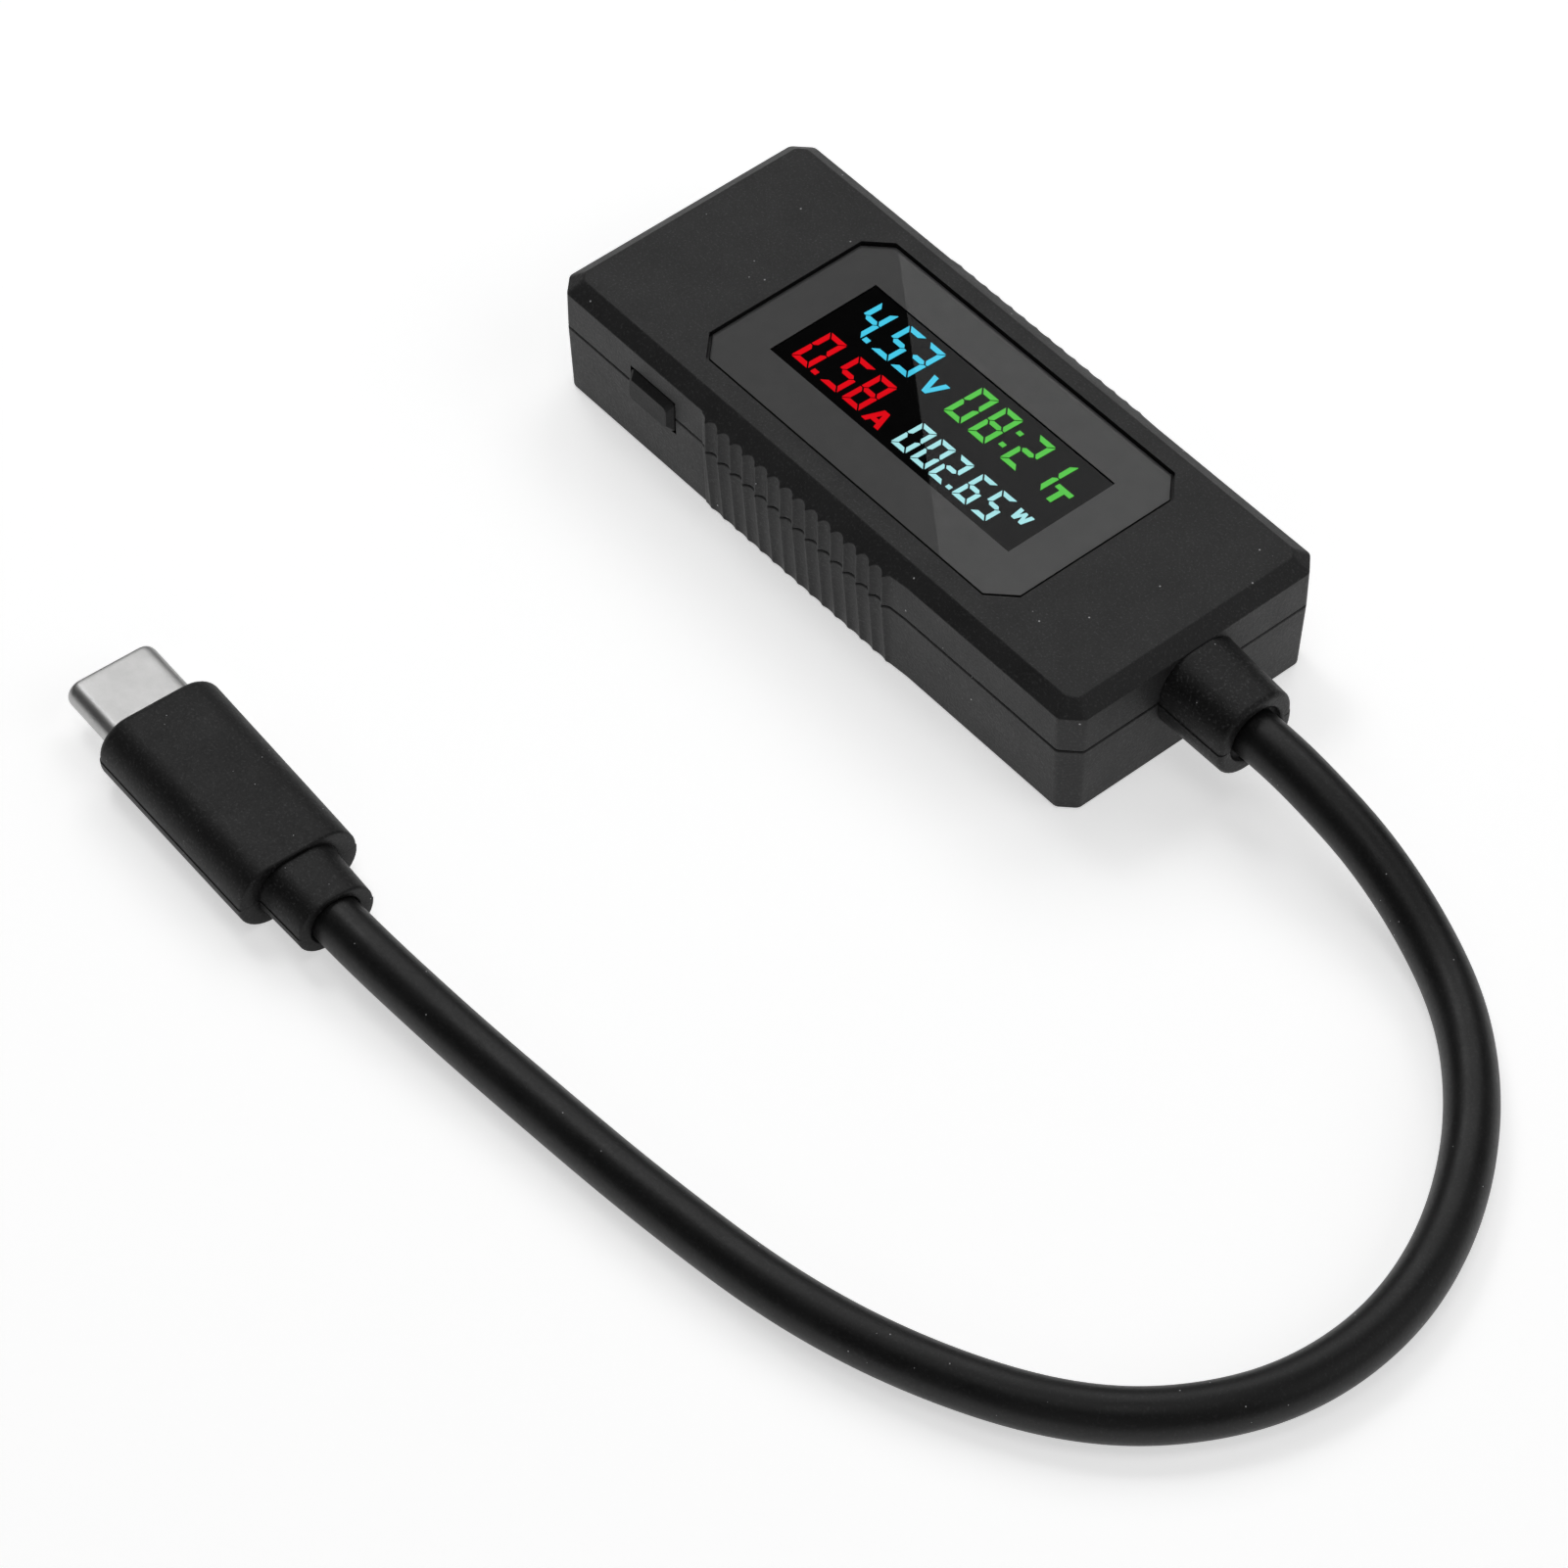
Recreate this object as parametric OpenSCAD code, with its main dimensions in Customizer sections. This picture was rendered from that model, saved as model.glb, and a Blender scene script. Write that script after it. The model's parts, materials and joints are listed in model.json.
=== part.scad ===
// USB-C inline power meter with a captive lead.
// Origin: centre of the housing's bottom face, which rests on the table.
// +X runs along the housing towards the lead, +Z is up through the display.

/* [Housing] */
// Length over the two end walls
body_l = 63; // [61:0.5:67]
// Width over the plain side walls
body_w = 26.6; // [26:0.1:28]
// Height from the table to the display face
body_h = 12.1; // [12.1:0.1:13]
// Height of the joint between the two shells
part_z = 7.25; // [7.25:0.05:7.5]
// Width of the sloping band round the display face
chamfer_w = 1.4; // [1:0.1:1.8]
// Flat across each upright corner, along either wall
corner = 1.5; // [1.2:0.1:2]

/* [Grip] */
// Number of hollows between the upright grip ridges
flute_n = 14; // [8:1:16]
// Distance from one ridge to the next
flute_pitch = 1.55; // [1.4:0.05:1.6]
// How far the ridges stand out from the wall
ridge_h = 0.5; // [0.4:0.05:0.7]
// How much less they stand out at the foot than at the joint between the shells
ridge_fade = 0.3; // [0:0.02:0.38]

/* [Window] */
// Length of the recess for the window
window_l = 37.8; // [37:0.1:39]
// Width of the recess for the window
window_w = 20.3; // [19.8:0.1:21]
// Lit area of the display, along the housing
view_l = 29; // [28:0.1:29.4]
// Lit area of the display, across the housing
view_w = 11.3; // [11:0.1:11.8]

/* [Button] */
// Length of the side button
button_l = 5.4; // [4.6:0.1:6]
// Height of the side button
button_h = 3.4; // [3.2:0.1:3.8]
// How far the button stands out from the wall
button_out = 0.6; // [0.6:0.05:1]

/* [Lead] */
// Diameter of the lead's jacket
lead_d = 4.3; // [4:0.1:4.3]
// Height of the lead's centre where it leaves the housing
lead_z = 6.7; // [6.6:0.1:6.9]

/* [Plug] */
// Length of the plug's moulded grip
grip_l = 19.7; // [19:0.1:20]
// Width of the grip at its front
grip_w = 11.2; // [10.6:0.1:11.6]
// Thickness of the grip
grip_t = 6.2; // [6.2:0.1:6.5]

/* [Hidden] */

half_l = body_l / 2;
half_w = body_w / 2;
wall = 1.5;
floor_z = 1.5;
roof_z = body_h - 1.5;
chamfer_h = 1.1;
chamfer_z = body_h - chamfer_h;
// Equal insets of a cut-corner outline shorten each corner flat by this share of the inset.
corner_loss = 2 - sqrt(2);
draft = 0.22;
foot_bevel = 0.4;
// Bevel on either side of the joint between the shells.
seam_w = 0.12;
inner_corner = 0.8;

lip_t = 0.7;
lip_h = 0.8;
lip_gap = 0.05;
clip_l = 4;
clip_x = [-8, 12];

ridge_x0 = -11.8;
flute_depth = 0.4;
flute_r = 0.82;
flute_y = -half_w - ridge_h + flute_depth - flute_r;
draft_angle = atan(draft / (part_z - seam_w - foot_bevel));

board_z = part_z - 1.63 - 1.2;
board_t = 1.2;
board_top = board_z + board_t;
board_x0 = -half_l + 2.2;
board_x1 = 24.5;
board_half_w = half_w - wall - 0.2;
peg_x = [-26.2, 22.2];
peg_y = 8.7;

window_x = 0.6;
window_y = 0.2;
window_cut = 2.2;
window_gap = 0.15;
window_t = 0.25;
ledge = 1.3;
glass_z = body_h - 0.05 - window_t;
mask_t = 0.05;
tape_t = 0.1;
ledge_z = glass_z - mask_t - tape_t;
view_x = 0.58;
view_y = 0.46;
frame_l = view_l + 4.4;
frame_w = view_w + 4.5;
digit_z = glass_z - mask_t - 0.08;
digit_t = 0.07;
// Place of all the figures on the display.
figures_x = -0.23;
figures_y = 0.19;
face_t = 0.07;
pane_t = 0.7;
front_z = digit_z - face_t - pane_t;
rear_z = front_z - pane_t;
guide_z = rear_z - 1.45;
guide_t = 1.4;
tray_z = guide_z - 0.6;

button_x = -19;
button_gap = 0.1;
button_bevel_x = 0.35;
button_bevel_z = 0.6;
button_inner_y = -half_w + wall + 0.1;
flange_t = 0.8;
switch_y = button_inner_y + flange_t + 0.9;
switch_l = 4.5;
switch_d = 3.4;
switch_h = 3.3;

boot_end = half_l + 6.9;
boot_neck_w = 6.6;
boot_neck_h = 6.4;
lead_r = lead_d / 2;
jacket_start = half_l - 3.9;
wire_r = 0.6;
signal_r = 0.32;

// The plug lies on the table, nearly in line with the housing.
plug_at = [-20.1, -62.8];
plug_turn = -2.8;
relief_l = 5.1;
jacket_end = 19;
shell_out = 6.65;
shell_w = 8.25;
shell_t = 2.4;
metal_t = 0.3;
slot_half_h = 0.48;
slot_half_w = 3.45;
contact_n = 12;
contact_pitch = 0.5;
contact_w = 0.24;
contact_t = 0.08;

socket_w = 8.94;
socket_h = 3.26;
socket_l = 7.35;
socket_x = -half_l + 0.1;
socket_z = part_z;
tongue_half_h = 0.3;

// A point given along the plug's own axis, as a point of the whole part.
function along_plug(x) = [
    plug_at[0] + x * cos(plug_turn), plug_at[1] + x * sin(plug_turn), grip_t / 2
];

// Centre line of the lead, from inside the housing, over the table, to inside the plug.
lead_route = [
    [jacket_start, 0, lead_z],
    [boot_end, 0, lead_z],
    [boot_end + 4, 0, 6.55],
    [boot_end + 8, -0.1, 6],
    [boot_end + 12, -0.2, 5.2],
    [boot_end + 16.5, -0.7, 4.05],
    [boot_end + 21, -1.7, 2.95],
    [boot_end + 26, -3.6, 2.3],
    [69, -6.5, 2.2],
    [73.5, -10.5, 2.2],
    [77.5, -15.4, 2.2],
    [80.5, -20.6, 2.2],
    [82.5, -26.2, 2.2],
    [83.2, -32, 2.2],
    [82.5, -38, 2.2],
    [80.2, -43.5, 2.2],
    [76.6, -48.5, 2.2],
    [71.8, -52.5, 2.2],
    [65.8, -55.8, 2.2],
    [59, -58.5, 2.2],
    [51.5, -60.4, 2.2],
    [43.5, -61.5, 2.2],
    [35.5, -62.3, 2.2],
    [28, -62.8, 2.2],
    [21, -63.3, 2.3],
    [15, -63.7, 2.65],
    [9.5, -64, 3],
    along_plug(grip_l + relief_l),
    along_plug(jacket_end)
];

// ---------- shared shapes ----------

// Rectangle with its four corners cut off at 45 degrees.
module cut_corner_outline(l, w, c) {
    polygon([
        [-l / 2 + c, -w / 2], [l / 2 - c, -w / 2], [l / 2, -w / 2 + c], [l / 2, w / 2 - c],
        [l / 2 - c, w / 2], [-l / 2 + c, w / 2], [-l / 2, w / 2 - c], [-l / 2, -w / 2 + c]
    ]);
}

function cut_corner_loop(z, l, w, c) = [
    [-l / 2 + c, -w / 2, z], [l / 2 - c, -w / 2, z], [l / 2, -w / 2 + c, z],
    [l / 2, w / 2 - c, z], [l / 2 - c, w / 2, z], [-l / 2 + c, w / 2, z],
    [-l / 2, w / 2 - c, z], [-l / 2, -w / 2 + c, z]
];

// Solid through cut-corner outlines, each given as [height, length, width, corner].
module cut_corner_stack(levels) {
    loops = [for (v = levels) cut_corner_loop(v[0], v[1], v[2], v[3])];
    n = 8;
    top = len(levels) - 1;
    sides = [
        for (k = [0 : top - 1], i = [0 : n - 1])
            [k * n + i, (k + 1) * n + i, (k + 1) * n + (i + 1) % n, k * n + (i + 1) % n]
    ];
    bottom_face = [[for (i = [0 : n - 1]) i]];
    top_face = [[for (i = [n - 1 : -1 : 0]) top * n + i]];
    polyhedron([for (q = loops) each q], concat(bottom_face, sides, top_face));
}

module round_rect(w, h, r) {
    translate([-w / 2 + r, -h / 2])
        square([w - 2 * r, h]);
    translate([-w / 2, -h / 2 + r])
        square([w, h - 2 * r]);
    for (x = [-1, 1], y = [-1, 1])
        translate([x * (w / 2 - r), y * (h / 2 - r)])
            circle(r, $fn = 48);
}

// Flat oval: a rectangle whose two short sides are half circles.
module oval(w, h) {
    square([w - h, h], center = true);
    for (x = [-1, 1])
        translate([x * (w - h) / 2, 0])
            circle(h / 2, $fn = 48);
}

// Extrudes a Y-Z outline along +X from x.
module along_x(x, length) {
    translate([x, 0, 0])
        rotate([90, 0, 90])
            linear_extrude(length)
                children();
}

module box(x0, x1, y0, y1, z0, z1) {
    translate([x0, y0, z0])
        cube([x1 - x0, y1 - y0, z1 - z0]);
}

module in_plug() {
    translate([plug_at[0], plug_at[1], grip_t / 2])
        rotate([0, 0, plug_turn])
            children();
}

// Thin slice of a rounded cross-section, for smooth hulls along X. Rise lifts its centre.
module slice(x, w, h, r, rise = 0) {
    translate([x, 0, rise])
        rotate([90, 0, 90])
            linear_extrude(0.01)
                offset(r = r, $fn = 32)
                    square([w - 2 * r, h - 2 * r], center = true);
}

// ---------- housing ----------

// The grip ridges' raised pad on one side, before the hollows are cut.
module ridge_pad(outline) {
    along_x(ridge_x0 - flute_pitch / 2, (flute_n + 1) * flute_pitch)
        polygon(outline);
}

module flutes(tilt) {
    for (i = [-1 : flute_n])
        translate([ridge_x0 + (i + 0.5) * flute_pitch, flute_y, part_z])
            rotate([tilt, 0, 0])
                cylinder(r = flute_r, h = 4 * part_z, center = true, $fn = 48);
}

module both_sides() {
    children();
    mirror([0, 1, 0])
        children();
}

module socket_opening() {
    translate([-half_l - 1, 0, socket_z])
        rotate([90, 0, 90])
            linear_extrude(wall + 2)
                oval(socket_w + 0.2, socket_h + 0.2);
}

module button_opening() {
    box(button_x - button_l / 2 - button_gap, button_x + button_l / 2 + button_gap,
        -half_w - 1, -half_w + wall + 1,
        part_z - button_h / 2 - button_gap, part_z + button_h / 2 + button_gap);
}

module boot_opening() {
    translate([half_l - wall - 1, 0, lead_z])
        rotate([90, 0, 90])
            linear_extrude(wall + 2)
                round_rect(boot_neck_w + 0.1, boot_neck_h + 0.1, 2);
}

module housing_openings() {
    socket_opening();
    button_opening();
    boot_opening();
}

module lower_body() {
    cut_corner_stack([
        [0, body_l - 2 * (draft + foot_bevel), body_w - 2 * (draft + foot_bevel), corner - 0.2],
        [foot_bevel, body_l - 2 * draft, body_w - 2 * draft, corner],
        [part_z - seam_w, body_l, body_w, corner],
        [part_z, body_l - 2 * seam_w, body_w - 2 * seam_w, corner - corner_loss * seam_w]
    ]);
    both_sides()
        ridge_pad([
            [-half_w + 2, 0],
            [-half_w + 2, part_z],
            [-half_w - ridge_h + seam_w, part_z],
            [-half_w - ridge_h, part_z - seam_w],
            [-half_w - ridge_h + draft + ridge_fade, foot_bevel],
            [-half_w - ridge_h + draft + ridge_fade + foot_bevel, 0]
        ]);
}

module upper_body() {
    translate([0, 0, part_z])
        cut_corner_stack([
            [0, body_l - 2 * seam_w, body_w - 2 * seam_w, corner - corner_loss * seam_w],
            [seam_w, body_l, body_w, corner],
            [chamfer_z - part_z, body_l, body_w, corner],
            [body_h - part_z, body_l - 2 * chamfer_w, body_w - 2 * chamfer_w,
                corner - corner_loss * chamfer_w]
        ]);
    both_sides()
        ridge_pad([
            [-half_w + 1, part_z],
            [-half_w + 1, chamfer_z],
            [-half_w, chamfer_z],
            [-half_w - ridge_h, chamfer_z - ridge_h * chamfer_h / chamfer_w],
            [-half_w - ridge_h, part_z + seam_w],
            [-half_w - ridge_h + seam_w, part_z]
        ]);
}

module lip_ring(spare) {
    linear_extrude(lip_h + spare)
        difference() {
            cut_corner_outline(body_l - 2 * (wall - lip_t) + 2 * spare,
                body_w - 2 * (wall - lip_t) + 2 * spare, corner - 0.2);
            cut_corner_outline(body_l - 2 * wall, body_w - 2 * wall, inner_corner);
        }
}

// Snap ridges on the lip of the lower shell, and with spare the slots that take them.
module clips(spare) {
    for (x = clip_x, side = [-1, 1])
        translate([x, side * (half_w - wall + lip_t), part_z + lip_h / 2])
            cube([clip_l + spare, 0.4 + spare, 0.3 + spare], center = true);
}

module pegs() {
    for (x = peg_x, side = [-1, 1])
        translate([x, side * peg_y, 0]) {
            translate([0, 0, floor_z - 0.1])
                cylinder(r = 1.6, h = board_z - floor_z + 0.1, $fn = 32);
            translate([0, 0, floor_z - 0.1])
                cylinder(r = 0.8, h = board_top + 1 - floor_z, $fn = 32);
        }
}

module lower_shell() {
    color("#2c2c2e")
        difference() {
            union() {
                difference() {
                    lower_body();
                    both_sides()
                        flutes(draft_angle);
                    translate([0, 0, floor_z])
                        linear_extrude(part_z)
                            cut_corner_outline(body_l - 2 * wall, body_w - 2 * wall, inner_corner);
                }
                translate([0, 0, part_z])
                    lip_ring(0);
                clips(0);
                both_sides()
                    box(-22, 18, -half_w + wall - 0.1, -half_w + wall + 1.2, floor_z - 0.1, board_z);
                pegs();
            }
            housing_openings();
        }
}

module upper_shell() {
    color("#2e2e30")
        difference() {
            union() {
                difference() {
                    upper_body();
                    both_sides()
                        flutes(0);
                    translate([0, 0, part_z - 1])
                        linear_extrude(roof_z - part_z + 1)
                            cut_corner_outline(body_l - 2 * wall, body_w - 2 * wall, inner_corner);
                    translate([0, 0, part_z - 0.01])
                        lip_ring(lip_gap);
                    clips(0.15);
                }
                // Sleeves over the board's pegs.
                for (x = peg_x, side = [-1, 1])
                    translate([x, side * peg_y, board_top + 0.05])
                        difference() {
                            cylinder(r = 1.7, h = roof_z - board_top, $fn = 32);
                            translate([0, 0, -1])
                                cylinder(r = 0.9, h = 2.4, $fn = 32);
                        }
            }
            housing_openings();
            // Recess for the window, then the hole behind it.
            translate([window_x, window_y, ledge_z])
                linear_extrude(5)
                    cut_corner_outline(window_l, window_w, window_cut);
            translate([window_x, window_y, roof_z - 1])
                linear_extrude(5)
                    square([window_l - 2 * ledge, window_w - 2 * ledge], center = true);
        }
}

module pane_outline() {
    cut_corner_outline(window_l - 2 * window_gap, window_w - 2 * window_gap, window_cut - 0.1);
}

module display_window() {
    color("#9aa0a6", 0.35)
        translate([window_x, window_y, glass_z])
            linear_extrude(window_t)
                pane_outline();
}

module window_mask() {
    color("#3c3c3e")
        translate([0, 0, glass_z - mask_t])
            linear_extrude(mask_t)
                difference() {
                    translate([window_x, window_y])
                        pane_outline();
                    translate([view_x, view_y])
                        square([view_l, view_w], center = true);
                }
}

module window_tape() {
    color("#141414")
        translate([window_x, window_y, ledge_z])
            linear_extrude(tape_t)
                difference() {
                    pane_outline();
                    square([window_l - 2 * ledge, window_w - 2 * ledge], center = true);
                }
}

// ---------- side button and its switch ----------

module side_button() {
    color("#2a2a2c") {
        // The outside, which narrows to its face.
        translate([button_x, -half_w, part_z])
            rotate([90, 0, 0])
                cut_corner_stack([
                    [-wall - 0.1, button_l, button_h, 0.3],
                    [0, button_l, button_h, 0.3],
                    [button_out, button_l - 2 * button_bevel_x, button_h - 2 * button_bevel_z, 0.3]
                ]);
        // The flange behind the wall, which keeps the button in.
        box(button_x - button_l / 2 - 1.3, button_x + button_l / 2 + 1.3,
            button_inner_y, button_inner_y + flange_t, board_top + 0.15, board_top + 3.1);
    }
}

module switch_body() {
    color("#1a1a1a")
        difference() {
            box(button_x - switch_l / 2, button_x + switch_l / 2, switch_y, switch_y + switch_d,
                board_top, board_top + switch_h - 0.2);
            box(button_x - 1.5, button_x + 1.5, switch_y - 1, switch_y + 1.6,
                board_top + 0.8, board_top + 2.4);
        }
}

module switch_cover() {
    color("silver")
        translate([0, 0, board_top]) {
            box(button_x - switch_l / 2, button_x + switch_l / 2, switch_y + 0.1,
                switch_y + switch_d, switch_h - 0.2, switch_h);
            for (side = [-1, 1])
                translate([button_x + side * (switch_l / 2 + 0.1), switch_y + switch_d / 2, switch_h / 2])
                    cube([0.2, 1.6, switch_h], center = true);
        }
}

module switch_plunger() {
    color("#d8d4c8")
        box(button_x - 1.35, button_x + 1.35, button_inner_y + flange_t + 0.05, switch_y + 0.9,
            board_top + 0.95, board_top + 2.25);
}

// ---------- lead ----------

module cable_boot() {
    color("#1c1c1e")
        translate([0, 0, lead_z])
            difference() {
                union() {
                    hull() {
                        slice(half_l, 8, 7.5, 2.8, 0.45);
                        slice(boot_end - 0.5, 7.5, 7.1, 2.8);
                        slice(boot_end - 0.15, 7.2, 6.8, 2.7);
                        slice(boot_end - 0.01, 6.7, 6.3, 2.5);
                    }
                    along_x(half_l - wall - 0.1, wall + 0.2)
                        round_rect(boot_neck_w, boot_neck_h, 2);
                    along_x(half_l - wall - 1.2, 1.1)
                        round_rect(9.6, 7.2, 2);
                }
                along_x(half_l - 5, 20)
                    circle(lead_r + 0.05, $fn = 48);
                along_x(boot_end - 0.5, 2)
                    circle(lead_r + 0.45, $fn = 48);
            }
}

function unit(v) = v / norm(v);

function heading(route, i) =
    i == 0 ? unit(route[1] - route[0])
    : i == len(route) - 1 ? unit(route[i] - route[i - 1])
    : unit(unit(route[i + 1] - route[i]) + unit(route[i] - route[i - 1]));

// One ring of a tube, square to its route, with its sides turned about the level.
function tube_ring(route, r, n, i) =
    let (t = heading(route, i), s = unit(cross(t, [0, 0, 1])), u = cross(s, t))
        [for (k = [0 : n - 1]) route[i] + r * cos(360 * k / n) * s + r * sin(360 * k / n) * u];

// Tube of radius r with n sides along a route of points.
module tube(route, r, n) {
    last = len(route) - 1;
    sides = [
        for (i = [0 : last - 1], k = [0 : n - 1])
            [i * n + k, i * n + (k + 1) % n, (i + 1) * n + (k + 1) % n, (i + 1) * n + k]
    ];
    start_face = [[for (k = [n - 1 : -1 : 0]) k]];
    end_face = [[for (k = [0 : n - 1]) last * n + k]];
    polyhedron([for (i = [0 : last]) each tube_ring(route, r, n, i)],
        concat(start_face, sides, end_face));
}

module cord() {
    color("#161616")
        tube(lead_route, lead_r, 12);
}

// One insulated core of the lead, from the jacket's cut end down to its pad on the board.
module core(y, pad_y, r) {
    rest_z = board_top + r + 0.05;
    tube([
        [jacket_start, y, lead_z],
        [jacket_start - 1, y, lead_z],
        [board_x1 + 1, (y + pad_y) / 2, (lead_z + rest_z) / 2],
        [board_x1 - 0.6, pad_y, rest_z],
        [board_x1 - 2.6, pad_y, rest_z]
    ], r, 10);
}

module red_wire() {
    color("#b01818")
        core(-1.35, -3.4, wire_r);
}

module black_wire() {
    color("#181818")
        core(1.35, 3.4, wire_r);
}

module white_wire() {
    color("#e8e8e4")
        core(-0.38, -1.2, signal_r);
}

module green_wire() {
    color("#1e8a3a")
        core(0.38, 1.2, signal_r);
}

module solder_joints() {
    color("#b8bcc0")
        for (y = [-3.4, -1.2, 1.2, 3.4])
            translate([board_x1 - 3.4, y, board_top])
                cylinder(r1 = 0.8, r2 = 0.35, h = 0.9, $fn = 32);
}

// ---------- plug ----------

module grip_solid() {
    back_w = grip_w - 0.6;
    hull() {
        slice(0, grip_w - 1.2, grip_t - 1.2, 2.4);
        slice(0.25, grip_w - 0.5, grip_t - 0.5, 2.8);
        slice(0.8, grip_w, grip_t, 3);
        slice(grip_l - 0.9, back_w, grip_t, 3);
        slice(grip_l - 0.25, back_w - 0.5, grip_t - 0.5, 2.8);
        slice(grip_l - 0.01, back_w - 1.2, grip_t - 1.2, 2.4);
    }
}

module plug_grip() {
    color("#1e1e20")
        in_plug()
            difference() {
                grip_solid();
                // Front opening for the metal shell, and the hollow for the board.
                along_x(-1, 4)
                    oval(shell_w + 0.04, shell_t + 0.04);
                box(1.8, jacket_end - 0.5, -4.3, 4.3, -2, 2);
                along_x(jacket_end - 1, 5)
                    circle(lead_r + 0.05, $fn = 48);
            }
}

module plug_strain_relief() {
    end = grip_l + relief_l;
    color("#1c1c1e")
        in_plug()
            difference() {
                hull() {
                    slice(grip_l, 7.1, 5.4, 2.6);
                    slice(end - 0.9, 6.9, 5.3, 2.6);
                    slice(end - 0.3, 6.5, 4.9, 2.4);
                    slice(end - 0.01, 5.9, 4.7, 2.3);
                }
                along_x(grip_l - 1, relief_l + 2)
                    circle(lead_r + 0.05, $fn = 48);
            }
}

module plug_shell() {
    color("#c8cacc")
        in_plug()
            difference() {
                along_x(-shell_out, shell_out + 2.9)
                    oval(shell_w, shell_t);
                along_x(-shell_out - 1, shell_out + 5)
                    oval(shell_w - 2 * metal_t, shell_t - 2 * metal_t);
            }
}

module plug_insulator() {
    color("#202022")
        in_plug()
            difference() {
                along_x(-shell_out + 0.5, shell_out + 2.2)
                    oval(shell_w - 2 * metal_t - 0.02, shell_t - 2 * metal_t - 0.02);
                // Slot that takes the socket's tongue.
                box(-shell_out - 1, -0.6, -slot_half_w, slot_half_w, -slot_half_h, slot_half_h);
            }
}

// Two facing rows of contact strips, each with its middle at the given height from the axis.
module contact_row(x, length, height) {
    for (i = [0 : contact_n - 1], side = [-1, 1])
        translate([x + length / 2, (i - (contact_n - 1) / 2) * contact_pitch, side * height])
            cube([length, contact_w, contact_t], center = true);
}

module plug_contacts() {
    color("#c9a24a")
        in_plug()
            contact_row(-shell_out + 1.2, 4.6, slot_half_h - contact_t / 2);
}

module plug_latch_springs() {
    color("#b8babc")
        in_plug()
            for (side = [-1, 1])
                translate([-shell_out + 3.6, side * (slot_half_w - 0.07), 0])
                    cube([4, 0.14, 0.6], center = true);
}

module plug_shield_can() {
    color("#a9abad")
        in_plug()
            difference() {
                box(3, 16, -4.25, 4.25, -1.95, 1.95);
                box(3.2, 17, -4.05, 4.05, -1.75, 1.75);
                // Way in for the metal shell's back end.
                along_x(2, 2)
                    oval(shell_w - 0.6, shell_t - 0.6);
            }
}

module plug_board() {
    color("#1d5c36")
        in_plug()
            box(3.3, 14, -3.4, 3.4, -0.3, 0.3);
}

module plug_wires() {
    color("#8a2020")
        in_plug()
            for (y = [-1.4, -0.46, 0.46, 1.4])
                tube([
                    [12.2, 1.5 * y, 0.72],
                    [14.2, 1.5 * y, 0.72],
                    [17.6, y, 0.1],
                    [jacket_end, y, 0]
                ], 0.4, 10);
}

// ---------- circuit board ----------

module circuit_board() {
    color("#0f4f2c")
        difference() {
            box(board_x0, board_x1, -board_half_w, board_half_w, board_z, board_top);
            for (x = peg_x, side = [-1, 1])
                translate([x, side * peg_y, 0])
                    cylinder(r = 0.9, h = 20, $fn = 32);
            // Room for the button as it goes in.
            box(button_x - button_l / 2 - 1.6, button_x + button_l / 2 + 1.6,
                -half_w, button_inner_y + 0.7, 0, 20);
        }
}

module socket_shell() {
    color("#c4c6c8")
        translate([0, 0, socket_z]) {
            difference() {
                along_x(socket_x, socket_l)
                    oval(socket_w, socket_h);
                along_x(socket_x - 1, socket_l + 2)
                    oval(socket_w - 0.6, socket_h - 0.6);
            }
            // Tabs that hold the shell down on the board.
            for (x = [2.6, 5.9], side = [-1, 1])
                box(socket_x + x - 0.5, socket_x + x + 0.5,
                    side * (socket_w / 2 + 0.1) - 0.15, side * (socket_w / 2 + 0.1) + 0.15,
                    -socket_h / 2, 0.2);
        }
}

module socket_back() {
    color("#1b1b1d")
        translate([0, 0, socket_z])
            along_x(socket_x + 4.95, socket_l - 5)
                oval(socket_w - 0.62, socket_h - 0.62);
}

module socket_tongue() {
    color("#202022")
        translate([0, 0, socket_z])
            box(socket_x + 0.6, socket_x + 4.95, -3.3, 3.3, -tongue_half_h, tongue_half_h);
}

module socket_contacts() {
    color("#c9a24a")
        translate([0, 0, socket_z])
            contact_row(socket_x + 0.9, 3.8, tongue_half_h + contact_t / 2);
}

module microcontroller() {
    color("#17181a")
        translate([6, 0, board_top + 0.1])
            linear_extrude(1.3)
                cut_corner_outline(7, 7, 0.4);
}

module microcontroller_leads() {
    color("#b8bcc0")
        for (turn = [0 : 90 : 270], i = [0 : 7])
            translate([6, 0, board_top])
                rotate([0, 0, turn])
                    translate([3.5, -2.8 + i * 0.8 - 0.15, 0])
                        cube([1, 0.3, 0.25]);
}

// Small chip with a row of feet along each long side, in one solid.
module small_chip(at, l, w, h, feet, pitch) {
    translate([at[0], at[1], board_top]) {
        translate([-l / 2, -w / 2, 0.1])
            cube([l, w, h - 0.1]);
        for (i = [0 : feet - 1], side = [-1, 1])
            translate([(i - (feet - 1) / 2) * pitch - 0.2, side < 0 ? -w / 2 - 0.9 : w / 2 - 0.1, 0])
                cube([0.4, 1, 0.3]);
    }
}

module memory_chip() {
    color("#1a1b1d")
        small_chip([-6.5, 3.4], 4.9, 3.9, 1.5, 4, 1.27);
}

module voltage_regulator() {
    color("#1a1b1d")
        small_chip([-7.5, -4.2], 4.5, 2.5, 1.5, 3, 1.5);
}

module shunt_resistor() {
    color("#30302e")
        box(14.5, 20.9, -1.6, 1.6, board_z - 0.7, board_z);
}

module bulk_capacitor() {
    color("#c07a28")
        box(-19, -15.5, 2, 4.8, board_z - 1.9, board_z);
}

module crystal_can() {
    color("#c6c8ca")
        translate([13.2, 3.4, board_top])
            linear_extrude(0.9)
                round_rect(3.2, 2.5, 0.4);
}

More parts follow.
